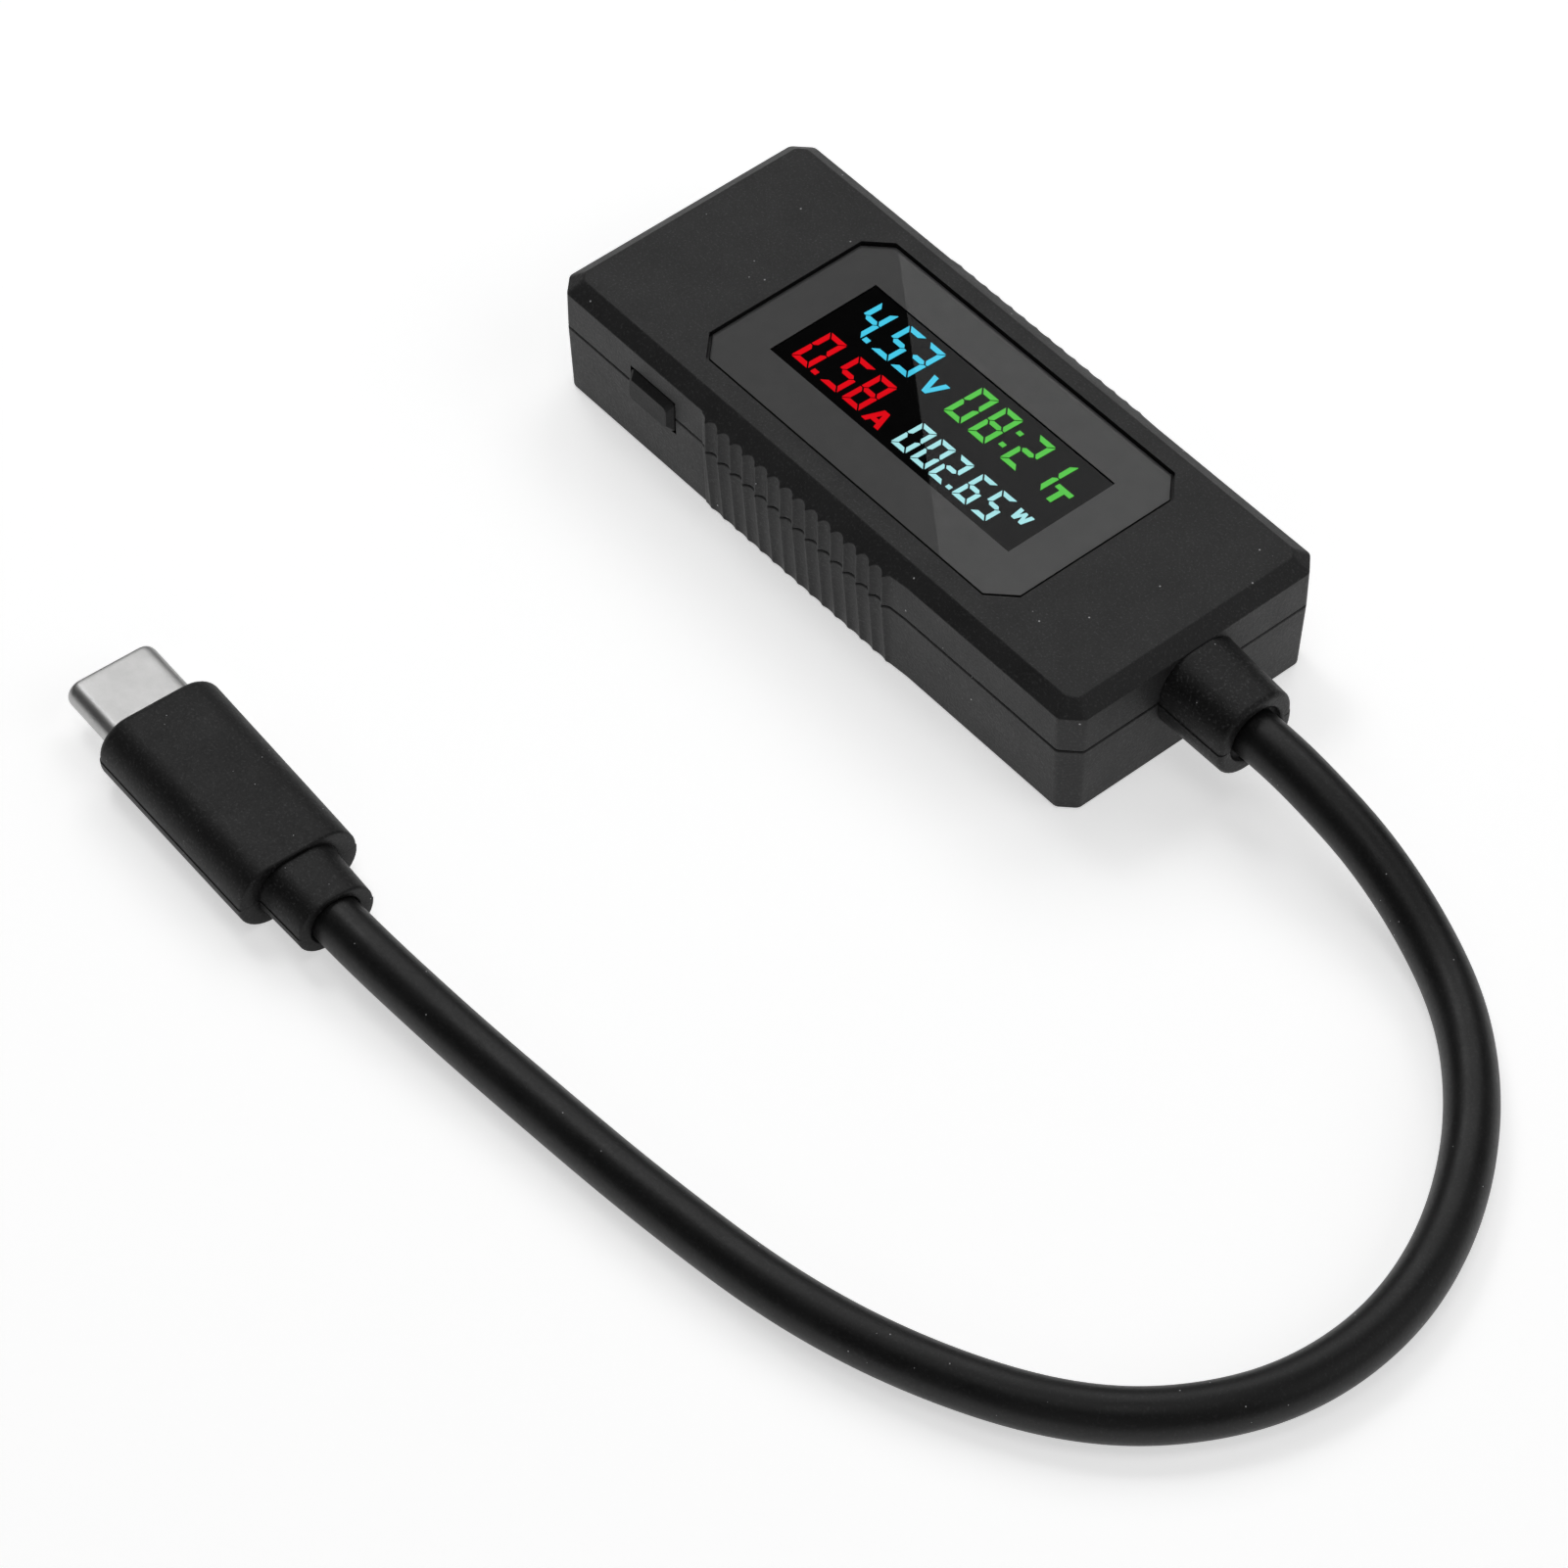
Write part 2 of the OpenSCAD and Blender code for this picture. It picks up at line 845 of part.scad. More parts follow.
// Small blocks of one height on the board, each centred on a given point.
module board_chips(places, height) {
    for (p = places)
        translate([p[0] - 0.8, p[1] - 0.4, board_top])
            cube([1.6, 0.8, height]);
}

module ceramic_capacitors() {
    color("#b9976a")
        board_chips([
            [0.2, 6.2], [0.2, -6.2], [12.4, -2.2], [12.4, -4.6],
            [-12.4, 5.4], [-12.4, 3], [-23, 6], [20.4, 5.4]
        ], 0.8);
}

module chip_resistors() {
    color("#22242a")
        board_chips([
            [-3, -1], [-3, 0.6], [-12.4, 0.6], [-12.4, -1.4], [-12.4, -3.4],
            [3.2, 6.2], [6.2, 6.2], [9.2, 6.2], [5, -6.3], [8, -6.3]
        ], 0.45);
}

// ---------- display ----------

module at_view() {
    translate([view_x, view_y, 0])
        children();
}

module display_frame() {
    leg_x = frame_l / 2 - 1.2;
    leg_y = frame_w / 2 - 1.2;
    color("#e6e6e2")
        at_view() {
            difference() {
                box(-frame_l / 2, frame_l / 2, -frame_w / 2, frame_w / 2, tray_z, roof_z - 0.1);
                box(-frame_l / 2 + 0.6, frame_l / 2 - 0.6, -frame_w / 2 + 0.6, frame_w / 2 - 0.6,
                    guide_z, body_h);
                // Way out for the ribbon.
                box(frame_l / 2 - 1, frame_l / 2 + 1, -6.2, 6.2, front_z - 0.1, body_h);
            }
            for (x = [-leg_x, leg_x], y = [-leg_y, leg_y])
                translate([x, y, board_top])
                    cylinder(r = 0.8, h = tray_z - board_top, $fn = 32);
        }
}

module light_guide() {
    color("#f4f6f8")
        at_view()
            box(-frame_l / 2 + 0.7, frame_l / 2 - 2.2, -frame_w / 2 + 0.7, frame_w / 2 - 0.7,
                guide_z, guide_z + guide_t);
}

module backlight_leds() {
    color("#f2efd8")
        at_view()
            for (y = [-3, 3])
                box(frame_l / 2 - 2.1, frame_l / 2 - 1.1, y - 1.5, y + 1.5, guide_z, guide_z + 1);
}

module rear_glass() {
    color("#7e8a8c")
        at_view()
            box(-view_l / 2 - 1.5, view_l / 2 + 1.5, -view_w / 2 - 1.5, view_w / 2 + 1.5, rear_z, front_z);
}

module front_glass() {
    color("#6e787a")
        at_view()
            box(-view_l / 2 - 0.8, view_l / 2 + 0.8, -view_w / 2 - 0.8, view_w / 2 + 0.8,
                front_z, front_z + pane_t);
}

module display_face() {
    color("#060606")
        at_view()
            box(-view_l / 2 - 0.5, view_l / 2 + 0.5, -view_w / 2 - 0.5, view_w / 2 + 0.5,
                digit_z - face_t, digit_z);
}

module display_ribbon() {
    drop_x = view_x + frame_l / 2 + 0.7;
    color("#b5762c") {
        box(view_x + view_l / 2 + 0.9, drop_x, -6, 6, front_z, front_z + 0.12);
        box(drop_x - 0.12, drop_x, -6, 6, board_top + 0.6, front_z + 0.12);
    }
}

module ribbon_connector() {
    drop_x = view_x + frame_l / 2 + 0.7;
    color("#e2ddcc")
        difference() {
            box(drop_x - 0.9, drop_x + 0.8, -6.8, 6.8, board_top, board_top + 1.5);
            box(drop_x - 0.2, drop_x + 0.08, -6.1, 6.1, board_top + 0.5, board_top + 2);
        }
}

// ---------- lit figures ----------

// Which of the seven bars each figure lights: top, upper right, lower right, bottom, lower left,
// upper left, middle.
function lit_bars(n) = [
    [1, 1, 1, 1, 1, 1, 0], [0, 1, 1, 0, 0, 0, 0], [1, 1, 0, 1, 1, 0, 1], [1, 1, 1, 1, 0, 0, 1],
    [0, 1, 1, 0, 0, 1, 1], [1, 0, 1, 1, 0, 1, 1], [1, 0, 1, 1, 1, 1, 1], [1, 1, 1, 0, 0, 0, 0],
    [1, 1, 1, 1, 1, 1, 1], [1, 1, 1, 1, 0, 1, 1]
][n];

function mirrored_x(points, w) = [for (p = points) [w - p[0], p[1]]];

function mirrored_y(points, h) = [for (p = points) [p[0], h - p[1]]];

// Outline of one bar of a figure. Bars meet at mitred corners, with a hair of dark between them.
function bar_outline(i, w, h, t) =
    let (
        gap = 0.15,
        k = 0.7 * gap,
        top = [[k, h], [t + k, h - t], [w - t - k, h - t], [w - k, h]],
        upright = [
            [w, h - k], [w - t, h - t - k], [w - t, (h + t) / 2 + k],
            [w - t / 2 + k - gap / 2, (h + gap) / 2], [w, (h + gap) / 2]
        ],
        middle = [
            [t / 2 + k, h / 2], [t + k, (h + t) / 2], [w - t - k, (h + t) / 2],
            [w - t / 2 - k, h / 2], [w - t - k, (h - t) / 2], [t + k, (h - t) / 2]
        ]
    )
    i == 0 ? top
    : i == 1 ? upright
    : i == 2 ? mirrored_y(upright, h)
    : i == 3 ? mirrored_y(top, h)
    : i == 4 ? mirrored_y(mirrored_x(upright, w), h)
    : i == 5 ? mirrored_x(upright, w)
    : middle;

// Seven-bar figure n with its lower left corner at the origin.
module figure(n, w, h, t) {
    bars = lit_bars(n);
    for (i = [0 : 6])
        if (bars[i] == 1)
            polygon(bar_outline(i, w, h, t));
}

// Shape drawn upright, leaned over as all the figures on the display are.
module leaned(x, y) {
    lean = 0.045;
    translate([x + figures_x, y + figures_y, digit_z])
        multmatrix([[1, lean, 0, 0], [0, 1, 0, 0], [0, 0, 1, 0], [0, 0, 0, 1]])
            linear_extrude(digit_t)
                children();
}

big_w = 2;
big_h = 4.1;
big_t = 0.46;
small_w = 1.72;
small_h = 3.35;
small_t = 0.4;
volts_y = 1;
amps_y = -4.42;
time_y = 0.88;
watts_y = -4.6;

module voltage_digits() {
    color("#35b8f0") {
        for (f = [[4, -12], [5, -8.6], [3, -6.2]])
            leaned(f[1], volts_y)
                figure(f[0], big_w, big_h, big_t);
        leaned(-9.75, volts_y + 0.05)
            square([0.55, 0.45]);
        leaned(-3.05, volts_y)
            polygon([[0, 1.9], [0.68, 0], [1.12, 0], [1.9, 1.9], [1.4, 1.9], [0.92, 0.58], [0.5, 1.9]]);
    }
}

module current_digits() {
    color("#ff0a14") {
        for (f = [[0, -12.15], [5, -8.6], [8, -5.95]])
            leaned(f[1], amps_y)
                figure(f[0], big_w, big_h, big_t);
        leaned(-9.75, amps_y)
            square([0.55, 0.45]);
        leaned(-3.3, amps_y - 0.15)
            difference() {
                polygon([
                    [0, 0], [0.68, 1.85], [1.3, 1.85], [2, 0], [1.5, 0], [1.36, 0.4], [0.62, 0.4], [0.48, 0]
                ]);
                polygon([[0.78, 0.8], [1.2, 0.8], [0.99, 1.4]]);
            }
    }
}

module time_digits() {
    color("#46c832") {
        for (f = [[0, 0.4], [8, 3.3], [2, 7.2], [1, 9.95]])
            leaned(f[1], time_y)
                figure(f[0], big_w, big_h, big_t);
        for (y = [0.9, 2.75])
            leaned(6.05, time_y + y)
                square([0.5, 0.42]);
        leaned(12.35, time_y - 0.15) {
            translate([0.58, 0])
                square([0.5, 1.4]);
            translate([0, 1.4])
                square([1.7, 0.46]);
        }
    }
}

module power_digits() {
    color("#a8ecf4") {
        for (f = [[0, 0.3], [0, 2.6], [2, 4.8], [6, 7.6], [5, 9.9]])
            leaned(f[1], watts_y)
                figure(f[0], small_w, small_h, small_t);
        leaned(6.8, watts_y + 0.1)
            square([0.45, 0.38]);
        leaned(12.35, watts_y + 1.95)
            polygon([
                [0, 1.2], [0.2, 0], [0.55, 0], [0.78, 0.7], [1.02, 0], [1.35, 0], [1.6, 1.2],
                [1.25, 1.2], [1.12, 0.55], [0.9, 1.15], [0.68, 1.15], [0.48, 0.55], [0.35, 1.2]
            ]);
    }
}

lower_shell();
upper_shell();
display_window();
window_mask();
window_tape();
side_button();
cable_boot();
cord();
plug_grip();
plug_strain_relief();
plug_shell();
plug_insulator();
plug_contacts();
plug_latch_springs();
plug_shield_can();
plug_board();
plug_wires();
circuit_board();
socket_shell();
socket_tongue();
socket_contacts();
socket_back();
switch_body();
switch_cover();
switch_plunger();
microcontroller();
microcontroller_leads();
memory_chip();
voltage_regulator();
shunt_resistor();
bulk_capacitor();
crystal_can();
ceramic_capacitors();
chip_resistors();
ribbon_connector();
display_ribbon();
display_frame();
light_guide();
backlight_leds();
rear_glass();
front_glass();
display_face();
voltage_digits();
current_digits();
time_digits();
power_digits();
red_wire();
black_wire();
white_wire();
green_wire();
solder_joints();
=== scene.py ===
# Looks for a USB power meter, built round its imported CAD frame. Metres, +Z up.
import json
import math

import bmesh
import bpy
from mathutils import Matrix, Vector


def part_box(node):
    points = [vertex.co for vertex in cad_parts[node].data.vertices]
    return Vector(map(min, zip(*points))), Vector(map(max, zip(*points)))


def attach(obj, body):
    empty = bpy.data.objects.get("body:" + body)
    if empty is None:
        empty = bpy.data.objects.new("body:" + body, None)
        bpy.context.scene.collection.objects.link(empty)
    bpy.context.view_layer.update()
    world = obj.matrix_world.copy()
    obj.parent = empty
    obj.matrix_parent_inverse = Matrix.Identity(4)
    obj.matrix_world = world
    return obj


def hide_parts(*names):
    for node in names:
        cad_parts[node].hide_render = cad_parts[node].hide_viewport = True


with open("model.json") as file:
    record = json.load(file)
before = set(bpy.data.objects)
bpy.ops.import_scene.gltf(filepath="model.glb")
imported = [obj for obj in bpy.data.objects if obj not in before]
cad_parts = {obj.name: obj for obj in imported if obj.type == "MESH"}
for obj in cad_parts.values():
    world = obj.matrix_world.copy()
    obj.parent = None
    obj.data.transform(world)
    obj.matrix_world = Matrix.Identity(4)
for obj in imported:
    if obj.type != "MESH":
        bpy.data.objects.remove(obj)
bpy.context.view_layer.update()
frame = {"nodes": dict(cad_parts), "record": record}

MM = 0.001

# ---------- the frame's own sizes, in millimetres ----------

case_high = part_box("lower_shell")[1] / MM
half_l = case_high.x
top_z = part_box("upper_shell")[1].z / MM
boot_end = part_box("cable_boot")[1].x / MM
window_low, window_high = [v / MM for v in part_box("display_window")]
PART_Z = 7.25
LEAD_R = 2.15
LEAD_Z = 6.7
SHELL_OUT = 6.65
GRIP_L = 19.7
RELIEF_L = 5.1

plug_mount = next(m for m in frame["record"]["mounts"] if m["name"] == "output_plug")
plug_axis = -Vector(plug_mount["axis"])
plug_front = Vector(plug_mount["pos_m"]) + SHELL_OUT * MM * plug_axis
PLUG_PLACE = Matrix.Translation(plug_front) @ Matrix.Rotation(math.atan2(plug_axis.y, plug_axis.x), 4, "Z")


def along_plug(s):
    """The point s millimetres behind the front of the plug's grip, on its axis."""
    return plug_front + s * MM * plug_axis


# ---------- camera ----------

CAMERA_AZIMUTH = math.radians(49.81)
CAMERA_ELEVATION = math.radians(49.82)
CAMERA_DISTANCE = 0.4880
CAMERA_RIGHT = -0.01180
CAMERA_UP = -0.02194
LENS_MM = 137.6


def add_camera():
    a, e = CAMERA_AZIMUTH, CAMERA_ELEVATION
    back = Vector((math.sin(a) * math.cos(e), -math.cos(a) * math.cos(e), math.sin(e)))
    right = Vector((math.cos(a), math.sin(a), 0))
    up = back.cross(right)
    data = bpy.data.cameras.new("camera")
    data.sensor_width = 36
    data.lens = LENS_MM
    data.clip_start = 0.01
    data.clip_end = 20
    camera = bpy.data.objects.new("camera", data)
    camera.matrix_world = Matrix.Translation(
        CAMERA_RIGHT * right + CAMERA_UP * up + CAMERA_DISTANCE * back
    ) @ Matrix((right, up, back)).transposed().to_4x4()
    bpy.context.scene.collection.objects.link(camera)
    bpy.context.scene.camera = camera
    return camera


EYE = add_camera().location.copy()


# ---------- material helpers ----------

class Nodes:
    """A small builder for one procedural material."""

    def __init__(self, name):
        self.material = bpy.data.materials.new(name)
        self.material.use_nodes = True
        self.tree = self.material.node_tree
        self.tree.nodes.clear()
        self.out = self.tree.nodes.new("ShaderNodeOutputMaterial")
        self.place = self.tree.nodes.new("ShaderNodeTexCoord").outputs["Object"]

    def add(self, kind, **values):
        node = self.tree.nodes.new(kind)
        for key, value in values.items():
            socket = node.inputs.get(key.replace("_", " "))
            if socket is None:
                setattr(node, key, value)
            else:
                self.feed(socket, value)
        return node

    def link(self, a, b):
        self.tree.links.new(a, b)

    def feed(self, socket, value):
        """Links another node's output to the socket, or sets a plain value on it."""
        if hasattr(value, "is_linked"):
            self.link(value, socket)
        else:
            socket.default_value = value

    def stretched(self, scale):
        """Object coordinates, scaled differently along each axis."""
        node = self.add("ShaderNodeMapping", Scale=scale)
        self.link(self.place, node.inputs["Vector"])
        return node.outputs["Vector"]

    def noise(self, scale, detail=3.0, rough=0.55, vector=None):
        node = self.add("ShaderNodeTexNoise", Scale=scale, Detail=detail, Roughness=rough)
        self.link(vector or self.place, node.inputs["Vector"])
        return node.outputs["Fac"]

    def remap(self, value, low, high, out_low, out_high):
        node = self.add("ShaderNodeMapRange")
        for index, v in enumerate((low, high, out_low, out_high), 1):
            node.inputs[index].default_value = v
        self.link(value, node.inputs[0])
        return node.outputs[0]

    def mix(self, factor, a, b):
        """Colour a where factor is 0 and b where it is 1."""
        node = self.add("ShaderNodeMix", data_type="RGBA")
        for index, value in ((0, factor), (6, a), (7, b)):
            self.feed(node.inputs[index], value)
        return node.outputs[2]

    def math(self, kind, a, b):
        node = self.add("ShaderNodeMath", operation=kind)
        for socket, value in zip(node.inputs, (a, b)):
            self.feed(socket, value)
        return node.outputs[0]

    def specks(self, scale, size, share):
        """Factor that is 1 in a few small round dots: dust caught on the surface."""
        cells = self.add("ShaderNodeTexVoronoi", Scale=scale)
        self.link(self.place, cells.inputs["Vector"])
        near = self.remap(cells.outputs["Distance"], size, size * 0.4, 0, 1)
        pick = self.add("ShaderNodeSeparateColor")
        self.link(cells.outputs["Color"], pick.inputs[0])
        chosen = self.math("LESS_THAN", pick.outputs[0], share)
        return self.math("MULTIPLY", near, chosen)

    def bump(self, height, distance):
        node = self.add("ShaderNodeBump", Strength=1.0, Distance=distance)
        self.link(height, node.inputs["Height"])
        return node.outputs["Normal"]

    def surface(self, **values):
        shader = self.add("ShaderNodeBsdfPrincipled", **values)
        self.link(shader.outputs[0], self.out.inputs["Surface"])


# Share of the light that the window's coated face mirrors, as a specular level.
WINDOW_MIRROR = 0.145
SPECK_SIZE = 0.085
DUST_TONE = 0.6


def grey(v):
    return (v, v, v * 1.02, 1)


def moulded(name, dark, light, rough, grain, depth, dust=0.0, specular=0.5, painted_glint=0.0, cell=900):
    """Moulded plastic or rubber: spark-eroded grain, faint mottling, a little dust, and painted glints,
    which are light flecks in the colour that stand in for the grain's sparkle.
    """
    n = Nodes(name)
    cloud = n.noise(260, 4, 0.6)
    fine = n.noise(grain, 2, 0.7)
    colour = n.mix(n.remap(cloud, 0.35, 0.65, 0, 1), dark, light)
    # Painted glints: light flecks mixed into the colour, standing in for light that sparkles off the grain.
    if painted_glint:
        colour = n.mix(n.remap(n.noise(grain * 1.4, 1, 0.5), 0.56, 0.74, 0, 1), colour, grey(painted_glint))
    if dust:
        colour = n.mix(n.specks(cell, SPECK_SIZE, dust), colour, grey(DUST_TONE))
    roughness = n.remap(n.math("ADD", cloud, fine), 0.7, 1.3, rough - 0.06, rough + 0.06)
    normal = n.bump(fine, depth)
    n.surface(Base_Color=colour, Roughness=roughness, Normal=normal, Specular_IOR_Level=specular)
    return n.material


def insulation(name, dark, light):
    return moulded(name, dark, light, rough=0.35, grain=3000, depth=0.000006)


def printed(name, dark, light):
    """Smooth print behind the clear window, with the window's own mirror coat."""
    n = Nodes(name)
    tone = n.mix(n.remap(n.noise(700, 3), 0.35, 0.65, 0, 1), dark, light)
    smear = n.remap(n.noise(90, 3), 0.3, 0.7, 0.006, 0.012)
    n.surface(Base_Color=tone, Roughness=smear, Specular_IOR_Level=WINDOW_MIRROR)
    return n.material


def metal(name, colour, rough, grain_scale, depth=0.000004, stretch=(1, 1, 1)):
    """Plated or bare metal with a fine directional grain."""
    n = Nodes(name)
    grain = n.noise(grain_scale, 3, 0.6, n.stretched(stretch))
    patch = n.noise(500, 3)
    tint = n.mix(n.remap(patch, 0.35, 0.65, 0, 1), colour, tuple(c * 0.9 for c in colour[:3]) + (1,))
    roughness = n.remap(grain, 0.3, 0.7, rough - 0.05, rough + 0.07)
    n.surface(Base_Color=tint, Roughness=roughness, Metallic=1.0, Normal=n.bump(grain, depth))
    return n.material


def lit(name, colour):
    """One lit colour of the display, a little uneven as a real backlight is."""
    n = Nodes(name)
    uneven = n.remap(n.noise(400, 2), 0.3, 0.7, 0.93, 1.07)
    glow = n.mix(uneven, (0, 0, 0, 1), colour)
    n.surface(
        Base_Color=n.mix(n.noise(900), tuple(c * 0.1 for c in colour[:3]) + (1,), (0.01, 0.01, 0.01, 1)),
        Roughness=0.01, Specular_IOR_Level=WINDOW_MIRROR, Emission_Color=glow, Emission_Strength=1.0,
    )
    return n.material


def clear_pane(name, tint, ior, floor):
    """Coated clear pane: straight-through light, and a mirror only towards grazing angles."""
    n = Nodes(name)
    through = n.add("ShaderNodeBsdfTransparent", Color=n.mix(n.noise(90, 3), tint, (0.97, 0.97, 0.97, 1)))
    gloss = n.add("ShaderNodeBsdfAnisotropic", Color=(1, 1, 1, 1))
    n.link(n.remap(n.noise(90, 3), 0.3, 0.7, 0.03, 0.05), gloss.inputs["Roughness"])
    edge = n.add("ShaderNodeFresnel", IOR=ior).outputs[0]
    front = n.math("SUBTRACT", 1.0, n.add("ShaderNodeNewGeometry").outputs["Backfacing"])
    mixed = n.add("ShaderNodeMixShader")
    n.link(n.math("MULTIPLY", n.remap(edge, floor, 1.0, 0.0, 1.0), front), mixed.inputs[0])
    n.link(through.outputs[0], mixed.inputs[1])
    n.link(gloss.outputs[0], mixed.inputs[2])
    n.link(mixed.outputs[0], n.out.inputs["Surface"])
    return n.material


# ---------- materials ----------

# Light flecks mixed into these colours are painted glints on the grain.
SHELL = moulded(
    "shell_plastic", grey(0.0105), grey(0.0132), rough=0.56, grain=3600, depth=0.00003,
    dust=0.08, specular=0.40, painted_glint=0.034,
)
BUTTON = moulded(
    "button_plastic", grey(0.0090), grey(0.0112), rough=0.58, grain=3600, depth=0.00002,
    dust=0.03, specular=0.27, painted_glint=0.018,
)
BOOT = moulded(
    "boot_rubber", grey(0.0032), grey(0.0062), rough=0.50, grain=3200, depth=0.00003,
    dust=0.2, specular=0.30, painted_glint=0.040, cell=1500,
)
GRIP = moulded(
    "grip_rubber", grey(0.0032), grey(0.0060), rough=0.55, grain=3400, depth=0.00002,
    dust=0.22, specular=0.33, painted_glint=0.028, cell=1500,
)
JACKET = moulded(
    "jacket_pvc", grey(0.0050), grey(0.0070), rough=0.44, grain=3000, depth=0.00001,
    dust=0.12, specular=0.34, painted_glint=0.014, cell=1300,
)
MASK = printed("mask_paint", (0.132, 0.132, 0.132, 1), (0.138, 0.138, 0.138, 1))
FACE = printed("display_ground", grey(0.003), grey(0.004))
TAPE = moulded("black_tape", grey(0.006), grey(0.01), 0.8, 5000, 0.00001)
NYLON = moulded("black_nylon", grey(0.012), grey(0.02), 0.5, 6000, 0.00001)
EPOXY = moulded("chip_epoxy", grey(0.012), grey(0.02), 0.6, 8000, 0.00001)
RESISTOR = moulded("resistor_glaze", grey(0.01), grey(0.02), 0.35, 5000, 0.000005)
CREAM = moulded("cream_plastic", (0.62, 0.57, 0.42, 1), (0.7, 0.65, 0.5, 1), 0.45, 5000, 0.00001)
WHITE = moulded("white_plastic", (0.7, 0.7, 0.68, 1), (0.78, 0.78, 0.76, 1), 0.45, 5000, 0.00001)
GUIDE = moulded("guide_acrylic", (0.75, 0.79, 0.82, 1), (0.82, 0.85, 0.87, 1), 0.12, 900, 0.000002)
GLASS = moulded("display_glass", (0.05, 0.065, 0.07, 1), (0.06, 0.075, 0.08, 1), 0.08, 600, 0.000001)
TAN = moulded("capacitor_body", (0.3, 0.18, 0.09, 1), (0.4, 0.26, 0.14, 1), 0.5, 6000, 0.00001)
BOARD = moulded("solder_mask", (0.004, 0.07, 0.025, 1), (0.006, 0.1, 0.035, 1), 0.3, 2500, 0.00001)
RIBBON = moulded("ribbon_film", (0.4, 0.16, 0.03, 1), (0.5, 0.22, 0.05, 1), 0.25, 1500, 0.000004)
LED = moulded("diode_package", (0.8, 0.74, 0.4, 1), (0.88, 0.84, 0.6, 1), 0.35, 3000, 0.000004)
WIRE_RED = insulation("red_insulation", (0.4, 0.01, 0.01, 1), (0.5, 0.02, 0.02, 1))
WIRE_BLACK = insulation("black_insulation", grey(0.008), grey(0.014))
WIRE_WHITE = insulation("white_insulation", (0.7, 0.7, 0.66, 1), (0.8, 0.8, 0.76, 1))
WIRE_GREEN = insulation("green_insulation", (0.01, 0.25, 0.04, 1), (0.02, 0.33, 0.06, 1))
NICKEL = metal("satin_nickel", (0.47, 0.468, 0.465, 1), 0.42, 9000, 0.0000006)
TIN = metal("tin_plate", (0.62, 0.63, 0.64, 1), 0.35, 3000, 0.000006, (1, 8, 1))
GOLD = metal("gold_plate", (0.83, 0.58, 0.2, 1), 0.25, 4000)
STEEL = metal("spring_steel", (0.5, 0.5, 0.51, 1), 0.3, 3000, 0.000005, (8, 1, 1))
SOLDER = metal("solder", (0.6, 0.61, 0.62, 1), 0.22, 1500, 0.00001)
# Black for the window pane's sides and bevel: painted shade for the gap round the window.
PANE_GAP_SHADE = moulded("window_edge_painted_shade", grey(0.003), grey(0.004), 0.6, 4000, 0.000004, specular=0.2)
PANE = clear_pane("window_acrylic", (0.935, 0.935, 0.935, 1), 1.49, 0.07)
BLUE = lit("lit_blue", (0.068, 0.635, 0.88, 1))
RED = lit("lit_red", (0.80, 0.0018, 0.008, 1))
GREEN = lit("lit_green", (0.096, 0.59, 0.068, 1))
CYAN = lit("lit_cyan", (0.42, 0.84, 0.87, 1))

CAD_LOOKS = {
    MASK: ["window_mask"],
    TAPE: ["window_tape"],
    BUTTON: ["side_button"],
    NYLON: ["plug_insulator", "socket_tongue", "socket_back", "switch_body"],
    GOLD: ["plug_contacts", "socket_contacts"],
    STEEL: ["plug_latch_springs"],
    TIN: ["plug_shield_can", "switch_cover", "microcontroller_leads", "crystal_can"],
    BOARD: ["circuit_board", "plug_board"],
    NICKEL: ["socket_shell"],
    CREAM: ["switch_plunger", "ribbon_connector"],
    EPOXY: ["microcontroller", "memory_chip", "voltage_regulator", "shunt_resistor"],
    TAN: ["bulk_capacitor", "ceramic_capacitors"],
    RESISTOR: ["chip_resistors"],
    RIBBON: ["display_ribbon"],
    WHITE: ["display_frame"],
    GUIDE: ["light_guide"],
    LED: ["backlight_leds"],
    GLASS: ["rear_glass", "front_glass"],
    FACE: ["display_face"],
    BLUE: ["voltage_digits"],
    RED: ["current_digits"],
    GREEN: ["time_digits"],
    CYAN: ["power_digits"],
    WIRE_RED: ["red_wire", "plug_wires"],
    WIRE_BLACK: ["black_wire"],
    WIRE_WHITE: ["white_wire"],
    WIRE_GREEN: ["green_wire"],
    SOLDER: ["solder_joints"],
}

# Nodes whose edges are rounded a little, with the radius in millimetres.
EDGES = {
    "side_button": 0.10,
    "socket_shell": 0.06, "plug_insulator": 0.05, "socket_tongue": 0.05, "switch_body": 0.08,
    "circuit_board": 0.05, "microcontroller": 0.08, "display_frame": 0.08, "crystal_can": 0.12,
    "plug_shield_can": 0.06, "bulk_capacitor": 0.15, "shunt_resistor": 0.08,
}


EDGE_ANGLE = math.radians(28)


def soften(obj, radius):
    """Rounds every edge sharper than EDGE_ANGLE and shades the rest smooth."""
    weld = obj.modifiers.new("weld", "WELD")
    weld.merge_threshold = 0.002 * MM
    flat = obj.modifiers.new("flat", "DECIMATE")
    flat.decimate_type = "DISSOLVE"
    flat.angle_limit = math.radians(0.3)
    edge = obj.modifiers.new("edge", "BEVEL")
    edge.width = radius
    edge.segments = 3
    edge.limit_method = "ANGLE"
    edge.angle_limit = EDGE_ANGLE
    edge.miter_outer = "MITER_ARC"
    edge.harden_normals = False
    normals = obj.modifiers.new("normals", "WEIGHTED_NORMAL")
    normals.keep_sharp = True
    for face in obj.data.polygons:
        face.use_smooth = True


def dress_cad():
    for material, names in CAD_LOOKS.items():
        for name in names:
            obj = frame["nodes"][name]
            obj.data.materials.clear()
            obj.data.materials.append(material)
            if name in EDGES:
                soften(obj, EDGES[name] * MM)


dress_cad()


# ---------- case shells ----------

